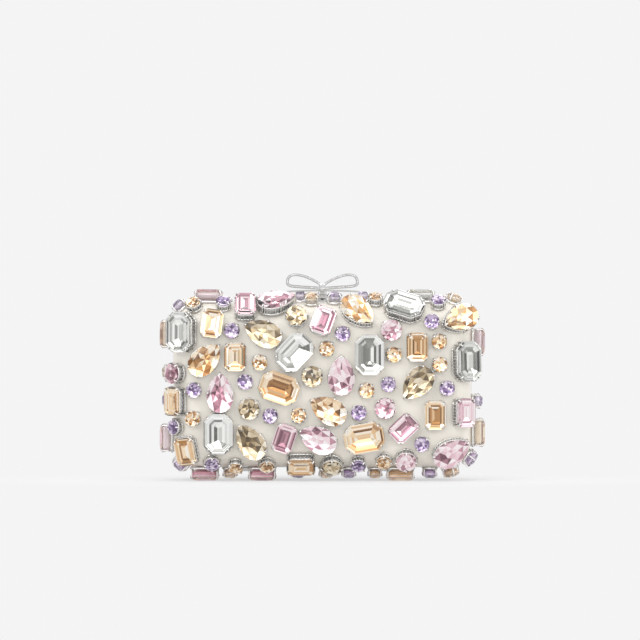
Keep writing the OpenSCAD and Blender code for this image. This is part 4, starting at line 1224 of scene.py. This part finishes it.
def smoothstep(tree, value, low, high, from_value=0.0, to_value=1.0):
    ends = {"Value": value, "From Min": low, "From Max": high, "To Min": from_value, "To Max": to_value}
    return add(tree, "ShaderNodeMapRange", ends, interpolation_type="SMOOTHSTEP").outputs["Result"]


floor_look = material("floor", (0.84, 0.84, 0.842), rough=0.9, specular=0.1)
tree = floor_look.node_tree
oval = add(tree, "ShaderNodeMapping", {"Scale": FLOOR_OVAL, "Vector": own_place(tree)})
far = add(tree, "ShaderNodeVectorMath", {0: oval.outputs["Vector"]}, operation="LENGTH")
fade = smoothstep(tree, far.outputs["Value"], *FLOOR_FADE, FLOOR_SHARE)
glow = add(tree, "ShaderNodeEmission", {"Color": BACKGROUND})
mixed = add(tree, "ShaderNodeMixShader",
            {"Fac": maths(tree, "MULTIPLY", fade, pale_rays(tree)[1]),
             1: tree.nodes[SHADER].outputs["BSDF"], 2: glow.outputs["Emission"]})
tree.links.new(mixed.outputs["Shader"], tree.nodes["Material Output"].inputs["Surface"])
floor = make_object("floor", [(x * FLOOR_HALF, y * FLOOR_HALF, 0)
                              for x, y in ((-1, -1), (1, -1), (1, 1), (-1, 1))],
                    [[0, 1, 2, 3]], [floor_look], solid=False)

# World: the pale background for the camera, the same with a few dark bands for gloss and glass,
# and a plain fill for everything else. A band gives its axis, where it starts and ends, and how
# much it darkens.
FILL = 0.7
BANDS = (("x", 0.28, 0.37, 0.6), ("x", 0.58, 0.72, 0.65), ("z", 0.24, 0.34, 0.5))
world = bpy.data.worlds.new("world")
scene.world = world
world.use_nodes = True
tree = world.node_tree
tree.nodes.clear()
camera_ray, seen = pale_rays(tree)
direction = add(tree, "ShaderNodeSeparateXYZ",
                {0: add(tree, "ShaderNodeTexCoord").outputs["Generated"]})
dx, _, dz = direction.outputs
across = {"x": maths(tree, "ABSOLUTE", dx), "z": dz}
room = BACK
for axis, low, high, depth in BANDS:
    edge = (high - low) / 4
    stripe = maths(tree, "MULTIPLY", smoothstep(tree, across[axis], low, low + edge),
                   smoothstep(tree, across[axis], high, high - edge))
    kept = maths(tree, "SUBTRACT", 1.0, maths(tree, "MULTIPLY", stripe, depth))
    room = maths(tree, "MULTIPLY", room, kept)
env = add(tree, "ShaderNodeCombineColor", {0: room, 1: room, 2: room})
plain = add(tree, "ShaderNodeMix",
            {"Factor": seen, "A": (FILL, FILL, FILL, 1), "B": env.outputs["Color"]},
            data_type="RGBA")
whole = add(tree, "ShaderNodeMix",
            {"Factor": camera_ray, "A": plain.outputs["Result"], "B": BACKGROUND},
            data_type="RGBA")
backdrop = add(tree, "ShaderNodeBackground", {"Color": whole.outputs["Result"]})
add(tree, "ShaderNodeOutputWorld", {"Surface": backdrop.outputs["Background"]})


def softbox(name, at, aim, size, power):
    d = bpy.data.lights.new(name, "AREA")
    d.shape = "RECTANGLE"
    d.size, d.size_y = size
    d.energy = power
    o = bpy.data.objects.new(name, d)
    scene.collection.objects.link(o)
    o.location = at
    o.rotation_euler = (Vector(aim) - Vector(at)).to_track_quat("-Z", "Y").to_euler()


MID = (0, 0, 0.06)
softbox("key", (-0.75, -0.95, 1.0), MID, (1.6, 1.3), 9)
softbox("fill", (1.0, -0.9, 0.75), MID, (1.3, 1.3), 6)
softbox("top", (0.0, 0.05, 1.3), MID, (1.5, 1.1), 4)
softbox("back", (0.7, 1.5, 0.8), MID, (1.2, 0.8), 4)
softbox("front", (0.0, -2.0, 0.6), MID, (1.6, 0.8), 4.8)
